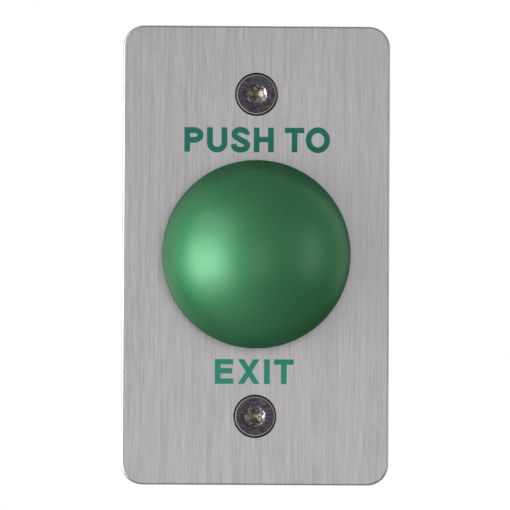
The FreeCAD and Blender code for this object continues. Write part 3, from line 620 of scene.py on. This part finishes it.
def screw_steel(screws):
    """Machine screw steel by zones: a mottled face painted dark as a painted dark reflection, a
    bright bevel and socket rim, a socket wall painted near black as painted shade, a stained
    socket floor and a plain shank."""
    finish = Finish("screw_steel")
    radius = finish.radius(SCREW_HEIGHT)
    from_rim = radius - screws.socket_rim
    below_face = finish.axes()[1] - SCREW_BOX[0].y
    grain = finish.noise(0.16 * MM, detail=3.0, roughness=0.6)
    scuff_size = (0.9 * MM, 0.9 * MM, 0.5 * MM)
    scuff = finish.noise(scuff_size, detail=4.0, roughness=0.65, shift=3.0).fade(0.3, 0.7)
    patch = finish.noise(1.8 * MM, detail=1.0, shift=11.0).fade(0.35, 0.65)
    worn = finish.noise(0.55 * MM, roughness=0.6, shift=17.0).fade(0.42, 0.66)

    on_face = 1 - below_face.fade(*FACE_DEPTHS)
    face = on_face * from_rim.fade(*FACE_EDGE) * (1 - radius.fade(*BEVEL_RADII))
    in_head = 1 - below_face.fade(*HEAD_DEPTHS)
    in_socket = (1 - from_rim.fade(*SOCKET_EDGE)) * in_head
    # Painted shade: the socket's wall is painted near black, as the shade in the recess
    wall = in_socket * below_face.fade(*WALL_DEPTHS)
    floor = in_socket * below_face.fade(*FLOOR_DEPTHS)
    at_mouth = (1 - from_rim.fade(*MOUTH_EDGE)) * in_head

    bright = finish.tint(screws.bevel_colour, 1 + grain.swing(0.4))
    mouth = finish.tint(screws.mouth_colour, 0.28 + worn * 0.95 + grain.swing(0.2))
    stain = finish.tint(screws.floor_colour, 0.3 + scuff * 0.6 + patch * 0.8)
    # Painted reflection: the flat face is painted dark, as the dark reflection a polished face
    # shows
    face_reflection_tone = finish.mix(patch, screws.face_painted_reflection, screws.face_patches)
    mottled = finish.tint(face_reflection_tone, 0.5 + scuff + grain.swing(0.3))
    tone = finish.mix(at_mouth, bright, mouth)
    tone = finish.mix(wall, tone, screws.socket_wall_shade)
    tone = finish.mix(floor, tone, stain)
    return finish.surface({
        "Base Color": finish.mix(face, tone, mottled),
        "Metallic": 1.0,
        "Roughness": 0.38 + grain.swing(0.14),
        "Normal": finish.bump(grain, 1.5 * MICRON),
    })


def green_anodised(dome):
    """Bead-blasted metal, dyed green and sealed: a dark green metal under a satin layer,
    with the fine grain of the blasting in its relief and its colour."""
    finish = Finish("green_anodised")
    grain = finish.noise(0.14 * MM, roughness=0.6)
    cloud = finish.noise(6 * MM, detail=3.0, roughness=0.55, shift=4.0)
    level = 1 + grain.swing(0.2) + cloud.swing(0.12)
    return finish.surface({
        "Base Color": finish.tint(dome.dye_colour, level),
        "Metallic": 1.0,
        "Roughness": dome.metal_roughness + cloud.swing(0.06),
        "Specular Tint": dome.edge_colour,
        "Coat Weight": dome.seal_weight,
        "Coat Roughness": dome.seal_roughness,
        "Coat IOR": 2.0,
        "Normal": finish.bump(grain, 4 * MICRON),
    })


def green_ink(name, ink_colour):
    """Screen-printed ink, slightly uneven where the brushed steel lies under it."""
    finish = Finish(name)
    weave = finish.noise((0.2 * MM, 0.2 * MM, 5 * MM), roughness=0.6)
    return finish.surface({
        "Base Color": finish.tint(ink_colour, 1 + weave.swing(0.3)),
        "Specular IOR Level": 0.2,
        "Roughness": 0.6 + weave.swing(0.2),
        "Normal": finish.bump(weave, 1.5 * MICRON),
    })


def turned_metal(name, colour, roughness, wear=0.1):
    """Turned metal: fine rings round the axis in its relief, and a slow change of tone."""
    finish = Finish(name)
    ring_width = 0.25 * MM
    place = (finish.radius() + finish.axes()[1]) / ring_width
    sockets = {"W": place, "Scale": 1.0, "Detail": 2.0}
    rings = finish.node("TexNoise", sockets, noise_dimensions="1D")
    cloud = finish.noise(3 * MM, detail=3.0, roughness=0.6)
    return finish.surface({
        "Base Color": finish.tint(colour, 1 + cloud.swing(wear) + rings.swing(0.12)),
        "Metallic": 1.0,
        "Roughness": roughness + cloud.swing(0.12),
        "Normal": finish.bump(rings, 1.5 * MICRON),
    })


def stamped_metal(name, colour, roughness, relief=1.2 * MICRON, wear=0.14):
    """Rolled, stamped or plated metal: fine grain in its relief and faint clouds of tone."""
    finish = Finish(name)
    grain = finish.noise(0.12 * MM, detail=3.0, roughness=0.6)
    cloud = finish.noise(1.6 * MM, detail=3.0, roughness=0.6, shift=6.0)
    return finish.surface({
        "Base Color": finish.tint(colour, 1 + cloud.swing(wear) + grain.swing(0.08)),
        "Metallic": 1.0,
        "Roughness": roughness + cloud.swing(0.16),
        "Normal": finish.bump(grain, relief),
    })


def moulded_plastic(name, colour, roughness, mottle=0.1):
    """Moulded plastic or rubber: the mould's fine spark grain, and a slight mottle."""
    finish = Finish(name)
    grain = finish.noise(0.18 * MM, detail=3.0, roughness=0.55)
    cloud = finish.noise(2.5 * MM, detail=3.0, roughness=0.6, shift=9.0)
    return finish.surface({
        "Base Color": finish.tint(colour, 1 + cloud.swing(mottle)),
        "Roughness": roughness + grain.swing(0.12) + cloud.swing(0.1),
        "Normal": finish.bump(grain, 3 * MICRON),
    })


# Settings that a user would change


def length(name, description, default):
    return FloatProperty(
        name=name, description=description, default=default, min=0.0,
        unit="LENGTH", subtype="DISTANCE", precision=5,
    )


def colour(name, description, default):
    return FloatVectorProperty(
        name=name, description=description, default=default, subtype="COLOR", min=0.0, max=1.0
    )


def share(name, description, default, highest=1.0):
    return FloatProperty(
        name=name, description=description, default=default, min=0.0, max=highest, subtype="FACTOR"
    )


def angle(name, description, default):
    return FloatProperty(
        name=name, description=description, default=math.radians(default),
        unit="ROTATION", subtype="ANGLE",
    )


class PlateSettings(bpy.types.PropertyGroup):
    steel_colour: colour("Steel", "Colour of the brushed steel", (0.490, 0.476, 0.481))
    steel_roughness: share("Roughness", "How blurred the steel's reflections are", 0.32)
    streak_width: length("Streak width", "Width of the finest brush marks", 0.18 * MM)
    streak_strength: share("Streaks", "How strongly the brush marks show", 0.54)


class WordSettings(bpy.types.PropertyGroup):
    upper_ink: colour("Upper ink", "Colour of the words above", (0.011, 0.145, 0.104))
    lower_ink: colour("Lower ink", "Colour of the thinner word below", (0.026, 0.235, 0.162))
    letter_height: length("Letter height", "Height of a capital letter", 4.62 * MM)
    ink_height: length("Ink height", "How far the ink stands proud of the steel", 0.02 * MM)


class ScrewSettings(bpy.types.PropertyGroup):
    # The face's dark colour is a painted dark reflection; its bluer patches are random tone
    face_painted_reflection: colour("Face", "Colour of the dark, flat face", (0.088, 0.074, 0.092))
    face_patches: colour("Face patches", "Colour of its bluer patches", (0.082, 0.082, 0.098))
    bevel_colour: colour("Bevel", "Colour of the bevel and shank", (0.34, 0.315, 0.315))
    mouth_colour: colour("Socket mouth", "Colour of the socket's worn mouth", (0.37, 0.35, 0.36))
    # The socket wall's colour is painted shade, near black where the recess is shaded
    socket_wall_shade: colour("Socket wall", "Colour of the socket's wall", (0.05, 0.042, 0.038))
    floor_colour: colour("Socket floor", "Colour of its stained floor", (0.25, 0.203, 0.180))
    thread_pitch: length("Pitch", "Distance between two turns of the thread", 0.7 * MM)
    socket_rim: length("Socket rim", "Radius of the socket's round rim", 1.92 * MM)
    upper_turn: angle("Upper turn", "How far the upper screw's socket is turned clockwise", 47)
    lower_turn: angle("Lower turn", "How far the lower screw's socket is turned clockwise", 10)


class DomeSettings(bpy.types.PropertyGroup):
    dye_colour: colour("Dye", "Colour of the anodised metal", (0.047, 0.244, 0.101))
    edge_colour: colour("Edge", "Tint of the metal seen at a slant", (0.01, 0.01, 0.01))
    metal_roughness: share("Roughness", "How blurred the metal's reflections are", 0.58)
    seal_weight: share("Seal", "How much the sealed layer shines", 0.30)
    seal_roughness: share("Seal roughness", "How blurred the layer's reflections are", 0.31)


class SwitchSettings(bpy.types.PropertyGroup):
    barrel_colour: colour("Barrel", "Colour of the barrel and plunger", (0.56, 0.55, 0.54))
    barrel_pitch: length("Barrel pitch", "Distance between turns of its thread", 1.5 * MM)
    nut_colour: colour("Nut", "Colour of the nickel-plated nut", (0.66, 0.61, 0.52))
    plating_colour: colour("Plating", "Colour of the zinc plating", (0.60, 0.61, 0.63))
    wire_colour: colour("Spring wire", "Colour of the springs' wire", (0.50, 0.50, 0.52))
    brass_colour: colour("Brass", "Colour of the bridges and terminals", (0.72, 0.46, 0.17))
    silver_colour: colour("Silver", "Colour of the contact tips", (0.86, 0.84, 0.80))
    base_colour: colour("Base", "Colour of the moulded base", (0.022, 0.022, 0.024))
    cover_colour: colour("Cover", "Colour of the chamber's cover", (0.20, 0.21, 0.22))
    carrier_colour: colour("Carrier", "Colour of the contact carrier", (0.74, 0.70, 0.58))
    rubber_colour: colour("Rubber", "Colour of the gasket and ring", (0.016, 0.016, 0.017))


class StageSettings(bpy.types.PropertyGroup):
    room_level: share("Room", "Brightness of the room's even light", 0.42, 2.0)
    key_level: share("Key", "Brightness of the square lamp on the left", 2.7, 20.0)
    strip_level: share("Strip", "Brightness of the low, wide lamp round it", 1.6, 20.0)
    halo_level: share("Halo", "Brightness of the tall lamp round both", 1.35, 20.0)
    front_level: share("Front", "Brightness of the lamp behind the camera", 0.75, 20.0)
    fill_level: share("Fill", "Brightness of the lamp on the right", 0.84, 20.0)
    floor_colour: colour("Floor", "Colour of the floor and the backdrop", (0.62, 0.62, 0.62))


# Pieces


class EXITBUTTON_OT_face_plate(bpy.types.Operator):
    """Brush the steel face plate"""

    bl_idname = "exitbutton.face_plate"
    bl_label = "Face plate"

    def execute(self, context):
        dress(brushed_stainless(context.scene.exit_plate), "face_plate")
        return {"FINISHED"}


class EXITBUTTON_OT_words(bpy.types.Operator):
    """Print the words above and below the button"""

    bl_idname = "exitbutton.words"
    bl_label = "Words"

    # Name, ink, words, gap between letters as a share of their height, and the place of the
    # middle of the line's foot
    LINES = (
        ("lettering_above", "upper_ink", "PUSH TO", 0.148, 0.15 * MM, 19.30 * MM),
        ("lettering_below", "lower_ink", "EXIT", 0.178, -0.18 * MM, -24.10 * MM),
    )
    SUNK = 0.03 * MM
    # Every other stroke is lower by a hair, so that strokes that cross share no plane
    HAIR = 0.001 * MM

    def execute(self, context):
        words = context.scene.exit_words
        size = words.letter_height
        front = PLATE_FRONT - words.ink_height
        back = PLATE_FRONT + self.SUNK
        for name, ink, line, gap, middle, foot in self.LINES:
            strokes, width = word_strokes(line, gap)
            corner = np.array([middle - width * size / 2, foot])
            ribbons = [
                ribbon(corner + edges * size, front + (number % 2) * self.HAIR, back)
                for number, edges in enumerate(strokes)
            ]
            finish = green_ink(ink, getattr(words, ink))
            add_piece(name, ribbons, finish, "housing")
        return {"FINISHED"}


class EXITBUTTON_OT_wall_screws(bpy.types.Operator):
    """Turn the two countersunk wall screws, with their threads and six-lobe sockets"""

    bl_idname = "exitbutton.wall_screws"
    bl_label = "Wall screws"

    SHANK_RADIUS = 2.0 * MM
    BEVEL_WIDTH = 0.22 * MM
    BEVEL_DEPTH = 0.05 * MM
    RIM = 0.25 * MM
    TIP_BEVEL = 0.5 * MM
    LOBE_TIP = 1.74 * MM
    LOBE_WAIST = 1.28 * MM
    LOBE_RADIUS = 0.33 * MM
    LEAD_IN = math.tan(math.radians(26))
    SOCKET_TAPER = 0.90
    POINT_SLOPE = math.tan(math.radians(30))
    # Width of the narrow band that keeps an edge crisp
    EDGE = 0.02 * MM
    # Rows up the socket's wall and out over its mouth, as shares of the way
    WALL_ROWS = (0.5, 0.96, 1.0)
    MOUTH_ROWS = (0.06, 0.5, 0.94, 1.0)
    STEPS = 96

    def socket(self, rim, turn):
        """From the point up: a cone, a wall that follows the lobes, a cone out to the rim."""
        angle = full_turn(self.STEPS)
        top = SCREW_BOX[0].y
        lobes = six_lobes(self.LOBE_TIP, self.LOBE_WAIST, self.LOBE_RADIUS, angle - turn)
        floor = top + SOCKET_FLOOR
        point = floor + self.LOBE_WAIST * self.POINT_SLOPE
        foot = self.SOCKET_TAPER * lobes
        rows = [
            (0, point),
            (self.LOBE_WAIST / 2, (floor + point) / 2),
            (np.minimum(foot, self.LOBE_WAIST), floor),
            (foot, floor),
            (foot, floor - self.EDGE),
        ]
        mouth = top + (rim - lobes) * self.LEAD_IN
        for up in self.WALL_ROWS:
            rows.append((foot + (lobes - foot) * up, floor + (mouth - floor) * up))
        for out in self.MOUTH_ROWS:
            rows.append((lobes + (rim - lobes) * out, mouth + (top - mouth) * out))
        rows = [np.broadcast_arrays(*row, angle)[:2] for row in rows]
        return np.swapaxes(rows, 0, 1)

    def outside(self, pitch):
        """From the face to the tip: face, bevel, rim, cone, thread and end."""
        angle = full_turn(self.STEPS)
        top = SCREW_BOX[0].y
        tip = SCREW_BOX[1].y
        head = SCREW_HEAD_RADIUS
        shank = self.SHANK_RADIUS
        rim_back = top + self.RIM
        head_back = rim_back + head - shank
        profile = [
            (head - self.BEVEL_WIDTH - self.EDGE, top),
            (head - self.BEVEL_WIDTH, top),
            (head - self.EDGE, top + self.BEVEL_DEPTH),
            (head, top + self.BEVEL_DEPTH + 2 * self.EDGE),
            (head, rim_back),
            (shank, head_back),
        ]
        threads = thread(shank, pitch, head_back, tip, self.TIP_BEVEL, angle)
        end = [(shank - self.TIP_BEVEL, tip), (0, tip)]
        return stacked(rows_of(profile, angle), threads, rows_of(end, angle))

    def execute(self, context):
        screws = context.scene.exit_screws
        outside = self.outside(screws.thread_pitch)
        places = ((SCREW_HEIGHT, screws.upper_turn), (-SCREW_HEIGHT, screws.lower_turn))
        grids = []
        for height, turn in places:
            radius, depth = stacked(self.socket(screws.socket_rim, turn), outside)
            grids.append(around(radius, depth, full_turn(self.STEPS), height))
        steel = screw_steel(screws)
        add_piece("wall_screws", grids, steel, "housing", ["mounting_screws"])
        return {"FINISHED"}


class EXITBUTTON_OT_dome(bpy.types.Operator):
    """Turn the domed cap, dye it green and seal it"""

    bl_idname = "exitbutton.dome"
    bl_label = "Dome"

    DOME_HEIGHT = 13.5 * MM
    SHOULDER = 3.0 * MM
    RIM_ROUNDING = 0.8 * MM
    WALL = 2.9 * MM
    RECESS_DEPTH = 6.0 * MM
    RECESS_ROUNDING = 1.2 * MM
    BOSS_RADIUS = 6.5 * MM
    BOSS_GAP = 4.1 * MM
    HOLE_RADIUS = 3.02 * MM
    HOLE_DEPTH = 7.1 * MM
    DRILL_SLOPE = math.tan(math.radians(31))
    STEPS = 192

    def profile(self):
        """From the apex: an arc as wide as the cap and as tall as the dome, an arc that turns
        it into the skirt, the rounded rim, the recess, the boss and its drilled hole."""
        low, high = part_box("dome_cap")
        sphere = (high.x**2 + self.DOME_HEIGHT**2) / (2 * self.DOME_HEIGHT)
        centre = low.y + sphere
        inset = high.x - self.SHOULDER
        drop = math.sqrt((sphere - self.SHOULDER) ** 2 - inset**2)
        joint = -math.degrees(math.atan2(drop, inset))
        rim_centre = (high.x - self.RIM_ROUNDING, high.y - self.RIM_ROUNDING)
        ceiling = high.y - self.RECESS_DEPTH
        recess = high.x - self.WALL
        recess_centre = (recess - self.RECESS_ROUNDING, ceiling + self.RECESS_ROUNDING)
        boss_face = BARREL_BOX[0].y - self.BOSS_GAP
        hole_end = boss_face - self.HOLE_DEPTH
        return [
            *rounding((0, centre), sphere, -90, joint, steps=60),
            *rounding((inset, centre - drop), self.SHOULDER, joint, 0, steps=10)[1:],
            *rounding(rim_centre, self.RIM_ROUNDING, 0, 90, steps=6),
            (recess, high.y),
            *rounding(recess_centre, self.RECESS_ROUNDING, 0, -90, steps=6),
            (self.BOSS_RADIUS, ceiling),
            (self.BOSS_RADIUS, boss_face),
            (self.HOLE_RADIUS, boss_face),
            (self.HOLE_RADIUS, hole_end),
            (0, hole_end - self.HOLE_RADIUS * self.DRILL_SLOPE),
        ]

    def execute(self, context):
        finish = green_anodised(context.scene.exit_dome)
        angle = full_turn(self.STEPS)
        grid = around(*rows_of(self.profile(), angle), angle)
        add_piece("domed_cap", [grid], finish, "button", ["dome_cap"])
        return {"FINISHED"}


class EXITBUTTON_OT_barrel(bpy.types.Operator):
    """Turn the barrel with its thread, and finish what holds it and slides in it"""

    bl_idname = "exitbutton.barrel"
    bl_label = "Barrel"

    OUTER_RADIUS = 11.0 * MM
    BORE_RADIUS = 5.0 * MM
    ROOM_RADIUS = 8.0 * MM
    SEAT_RADIUS = 9.5 * MM
    FLANGE_BACK = -2.5 * MM
    FLANGE_ROUNDING = 0.6 * MM
    THREAD_FRONT = 0.4 * MM
    SHOULDER = 2.0 * MM
    SEAT_FRONT = 12.0 * MM
    END_BEVEL = 0.6 * MM
    STEPS = 144

    def execute(self, context):
        switch = context.scene.exit_switch
        angle = full_turn(self.STEPS)
        front = BARREL_BOX[0].y
        end = BARREL_BOX[1].y
        flange = BARREL_BOX[1].x
        turn_in = (flange - self.FLANGE_ROUNDING, front + self.FLANGE_ROUNDING)
        head = [
            (self.BORE_RADIUS, front),
            *rounding(turn_in, self.FLANGE_ROUNDING, -90, 0, steps=6),
            (flange, self.FLANGE_BACK),
            (self.OUTER_RADIUS, self.FLANGE_BACK),
        ]
        inside = [
            (self.SEAT_RADIUS, end),
            (self.SEAT_RADIUS, self.SEAT_FRONT),
            (self.ROOM_RADIUS, self.SEAT_FRONT),
            (self.ROOM_RADIUS, self.SHOULDER),
            (self.BORE_RADIUS, self.SHOULDER),
            (self.BORE_RADIUS, front),
        ]
        pitch = switch.barrel_pitch
        threads = thread(self.OUTER_RADIUS, pitch, self.THREAD_FRONT, end, self.END_BEVEL, angle)
        radius, depth = stacked(rows_of(head, angle), threads, rows_of(inside, angle))
        steel = turned_metal("turned_steel", switch.barrel_colour, roughness=0.32)
        grid = around(radius, depth, angle)
        add_piece("threaded_barrel", [grid], steel, "housing", ["barrel"])
        dress(steel, "plunger")
        nickel = turned_metal("nickel_brass", switch.nut_colour, roughness=0.26, wear=0.06)
        dress(nickel, "hex_nut")
        rubber = moulded_plastic("black_rubber", switch.rubber_colour, roughness=0.72, mottle=0.3)
        dress(rubber, "flange_gasket", "plunger_seal")
        return {"FINISHED"}


class EXITBUTTON_OT_springs(bpy.types.Operator):
    """Wind the return spring and the two contact springs"""

    bl_idname = "exitbutton.springs"
    bl_label = "Springs"

    RETURN_WIRE = 0.8 * MM
    RETURN_TURNS = 5
    CONTACT_WIRE = 0.3 * MM
    CONTACT_TURNS = 6
    # How much shorter the return spring and the make contact's spring are at full travel
    RETURN_TRAVEL = 4.0 * MM
    MAKE_TRAVEL = 2.02 * MM
    AXIS = (0, 1, 0)

    def wound(self, node, wire, turns, body, steel, height=0.0):
        """A spring as long and as wide as the node that it replaces."""
        low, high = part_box(node)
        coil = high.x - wire / 2
        grid = spring(coil, wire, low.y, high.y, turns, height)
        return add_piece(node + "_wire", [grid], steel, body, [node])

    def execute(self, context):
        wire_colour = context.scene.exit_switch.wire_colour
        steel = stamped_metal("spring_steel", wire_colour, roughness=0.28)
        low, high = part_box("return_spring")
        wire = (self.RETURN_WIRE, self.RETURN_TURNS)
        piece = self.wound("return_spring", *wire, "housing", steel)
        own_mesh(piece)

        wire = (self.CONTACT_WIRE, self.CONTACT_TURNS)
        low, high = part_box("no_contact_spring")
        height = (low.z + high.z) / 2
        piece = self.wound("no_contact_spring", *wire, "button", steel, height)
        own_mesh(piece)

        low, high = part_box("nc_contact_spring")
        height = (low.z + high.z) / 2
        piece = self.wound("nc_contact_spring", *wire, "", steel, height)
        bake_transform(piece)
        return {"FINISHED"}


class EXITBUTTON_OT_contacts(bpy.types.Operator):
    """Finish the bridges, tips, terminals, clamps and plated fasteners"""

    bl_idname = "exitbutton.contacts"
    bl_label = "Contacts"

    def execute(self, context):
        switch = context.scene.exit_switch
        brass = stamped_metal("contact_brass", switch.brass_colour, roughness=0.3)
        dress(brass, "nc_bridge", "nc_terminal_left", "nc_terminal_right")
        dress(brass, "no_bridge", "no_terminal_left", "no_terminal_right")
        silver = stamped_metal("contact_silver", switch.silver_colour, roughness=0.24, wear=0.2)
        dress(silver, "nc_bridge_tips", "no_bridge_tips", "fixed_contact_tips")
        zinc = switch.plating_colour
        plating = stamped_metal("plated_steel", zinc, roughness=0.34, relief=2 * MICRON)
        dress(plating, "lock_washer", "terminal_screws", "wire_clamps")
        return {"FINISHED"}


class EXITBUTTON_OT_mouldings(bpy.types.Operator):
    """Finish the moulded base, the chamber's cover and the contact carrier"""

    bl_idname = "exitbutton.mouldings"
    bl_label = "Mouldings"

    def execute(self, context):
        switch = context.scene.exit_switch
        nylon = moulded_plastic("black_nylon", switch.base_colour, roughness=0.46, mottle=0.3)
        dress(nylon, "base_housing")
        grey = moulded_plastic("grey_acetal", switch.cover_colour, roughness=0.42)
        dress(grey, "chamber_cover")
        ivory = moulded_plastic("ivory_acetal", switch.carrier_colour, roughness=0.4)
        dress(ivory, "contact_carrier")
        return {"FINISHED"}


class EXITBUTTON_OT_stage(bpy.types.Operator):
    """Set up the floor with its backdrop, the lamps, the room's light and the camera"""

    bl_idname = "exitbutton.stage"
    bl_label = "Stage"

    FLOOR_HEIGHT = -1.25
    WALL_DEPTH = 1.6
    SWEEP_RADIUS = 0.5
    STAGE_TOP = 4.0
    STAGE_FRONT = -4.0
    STAGE_HALF_WIDTH = 4.0
    # Height above the floor from which the backdrop begins to turn white
    WHITE_START = 0.05
    # Place, degrees up, to the left and rolled, and focal length in millimetres
    CAMERA_PLACE = (-13.14 * MM, -819.51 * MM, -22.95 * MM)
    CAMERA_PITCH = 1.61
    CAMERA_YAW = -0.91
    CAMERA_ROLL = 0.30
    CAMERA_LENS = 308.45
    # Name, setting, degrees from the front to the side and up, distance, width and height
    LAMPS = (
        ("key_lamp", "key_level", -62.0, -6.0, 1.1, 0.88, 0.75),
        ("strip_lamp", "strip_level", -62.0, -12.0, 1.1, 1.2, 0.45),
        ("halo_lamp", "halo_level", -60.0, 0.0, 1.15, 1.25, 2.1),
        ("front_lamp", "front_level", 3.0, -10.0, 1.1, 0.36, 0.85),
        ("fill_lamp", "fill_level", 67.0, 0.0, 1.1, 0.50, 0.85),
    )

    def sweep(self, stage):
        """A floor that curves up into a wall: a straight run, a quarter turn and a straight
        run, carried along X. The wall is white to the eye and to reflections."""
        radius = self.SWEEP_RADIUS
        centre = (self.WALL_DEPTH - radius, self.FLOOR_HEIGHT + radius)
        front = (self.STAGE_FRONT, self.FLOOR_HEIGHT)
        top = (self.WALL_DEPTH, self.STAGE_TOP)
        profile = np.array([front, *rounding(centre, radius, -90, 0, steps=24), top])
        sides = (self.STAGE_HALF_WIDTH, -self.STAGE_HALF_WIDTH)
        grid = np.stack([np.insert(profile, 0, x, axis=1) for x in sides], axis=1)
        finish = Finish("backdrop")
        rays = ("Is Camera Ray", "Is Glossy Ray", "Is Transmission Ray")
        seen = sum(finish.node("LightPath", {}, output=ray) for ray in rays)
        seen = finish.node("Clamp", {0: seen})
        height = finish.axes()[2]
        wall = height.fade(self.FLOOR_HEIGHT + self.WHITE_START, self.FLOOR_HEIGHT + radius)
        matt = finish.node("BsdfDiffuse", {"Color": opaque(stage.floor_colour)})
        white = finish.node("Emission", {"Color": (1, 1, 1, 1), "Strength": 1.0})
        shader = finish.node("MixShader", {0: seen * wall, 1: matt, 2: white})
        finish.node("OutputMaterial", {"Surface": shader})
        add_piece("sweep", [grid], finish.material)

    def lamp(self, name, level, side, rise, distance, width, height):
        """A soft lamp that faces the button. Its power is pi times its area and level."""
        side, rise = math.radians(side), math.radians(rise)
        towards = Vector(
            (math.sin(side) * math.cos(rise), -math.cos(side) * math.cos(rise), math.sin(rise))
        )
        data = bpy.data.lights.new(name, "AREA")
        data.shape = "RECTANGLE"
        data.size = width
        data.size_y = height
        data.energy = math.pi * width * height * level
        lamp = bpy.data.objects.new(name, data)
        facing = towards.to_track_quat("Z", "Y").to_matrix().to_4x4()
        lamp.matrix_world = Matrix.Translation(towards * distance) @ facing
        lamp.visible_camera = False
        bpy.context.scene.collection.objects.link(lamp)

    def execute(self, context):
        scene = context.scene
        stage = scene.exit_stage
        self.sweep(stage)
        for name, setting, *place in self.LAMPS:
            self.lamp(name, getattr(stage, setting), *place)

        scene.world = bpy.data.worlds.new("room")
        scene.world.use_nodes = True
        room = Finish("room", scene.world.node_tree)
        seen = room.node("LightPath", {}, output="Is Camera Ray")
        strength = stage.room_level + seen * (1 - stage.room_level)
        light = room.node("Background", {"Color": (1, 1, 1, 1), "Strength": strength})
        room.node("OutputWorld", {"Surface": light})

        camera = bpy.data.objects.new("camera", bpy.data.cameras.new("camera"))
        camera.data.lens = self.CAMERA_LENS
        turns = ((self.CAMERA_YAW, "Z"), (90 + self.CAMERA_PITCH, "X"), (self.CAMERA_ROLL, "Z"))
        camera.matrix_world = Matrix.Translation(self.CAMERA_PLACE)
        for degrees, axis in turns:
            camera.matrix_world @= Matrix.Rotation(math.radians(degrees), 4, axis)
        scene.collection.objects.link(camera)
        scene.camera = camera
        scene.view_settings.view_transform = "Standard"
        return {"FINISHED"}


SETTINGS = {
    "exit_plate": PlateSettings,
    "exit_words": WordSettings,
    "exit_screws": ScrewSettings,
    "exit_dome": DomeSettings,
    "exit_switch": SwitchSettings,
    "exit_stage": StageSettings,
}
STEPS = (
    EXITBUTTON_OT_stage,
    EXITBUTTON_OT_face_plate,
    EXITBUTTON_OT_words,
    EXITBUTTON_OT_wall_screws,
    EXITBUTTON_OT_dome,
    EXITBUTTON_OT_barrel,
    EXITBUTTON_OT_springs,
    EXITBUTTON_OT_contacts,
    EXITBUTTON_OT_mouldings,
)


class EXITBUTTON_PT_sidebar(bpy.types.Panel):
    """Lists the pieces and their settings in the sidebar"""

    bl_idname = "EXITBUTTON_PT_sidebar"
    bl_label = "Exit button"
    bl_space_type = "VIEW_3D"
    bl_region_type = "UI"
    bl_category = "Exit Button"

    def draw(self, context):
        for step in STEPS:
            self.layout.operator(step.bl_idname)
        for name, group in SETTINGS.items():
            box = self.layout.box()
            for setting in group.__annotations__:
                box.prop(getattr(context.scene, name), setting)


CLASSES = (*SETTINGS.values(), *STEPS, EXITBUTTON_PT_sidebar)


def register():
    for kind in CLASSES:
        bpy.utils.register_class(kind)
    for name, group in SETTINGS.items():
        setattr(bpy.types.Scene, name, PointerProperty(type=group))


def unregister():
    for name in SETTINGS:
        delattr(bpy.types.Scene, name)
    for kind in reversed(CLASSES):
        bpy.utils.unregister_class(kind)


def main():
    register()
    for step in STEPS:
        group, name = step.bl_idname.split(".")
        getattr(getattr(bpy.ops, group), name)()


if __name__ == "__main__":
    main()
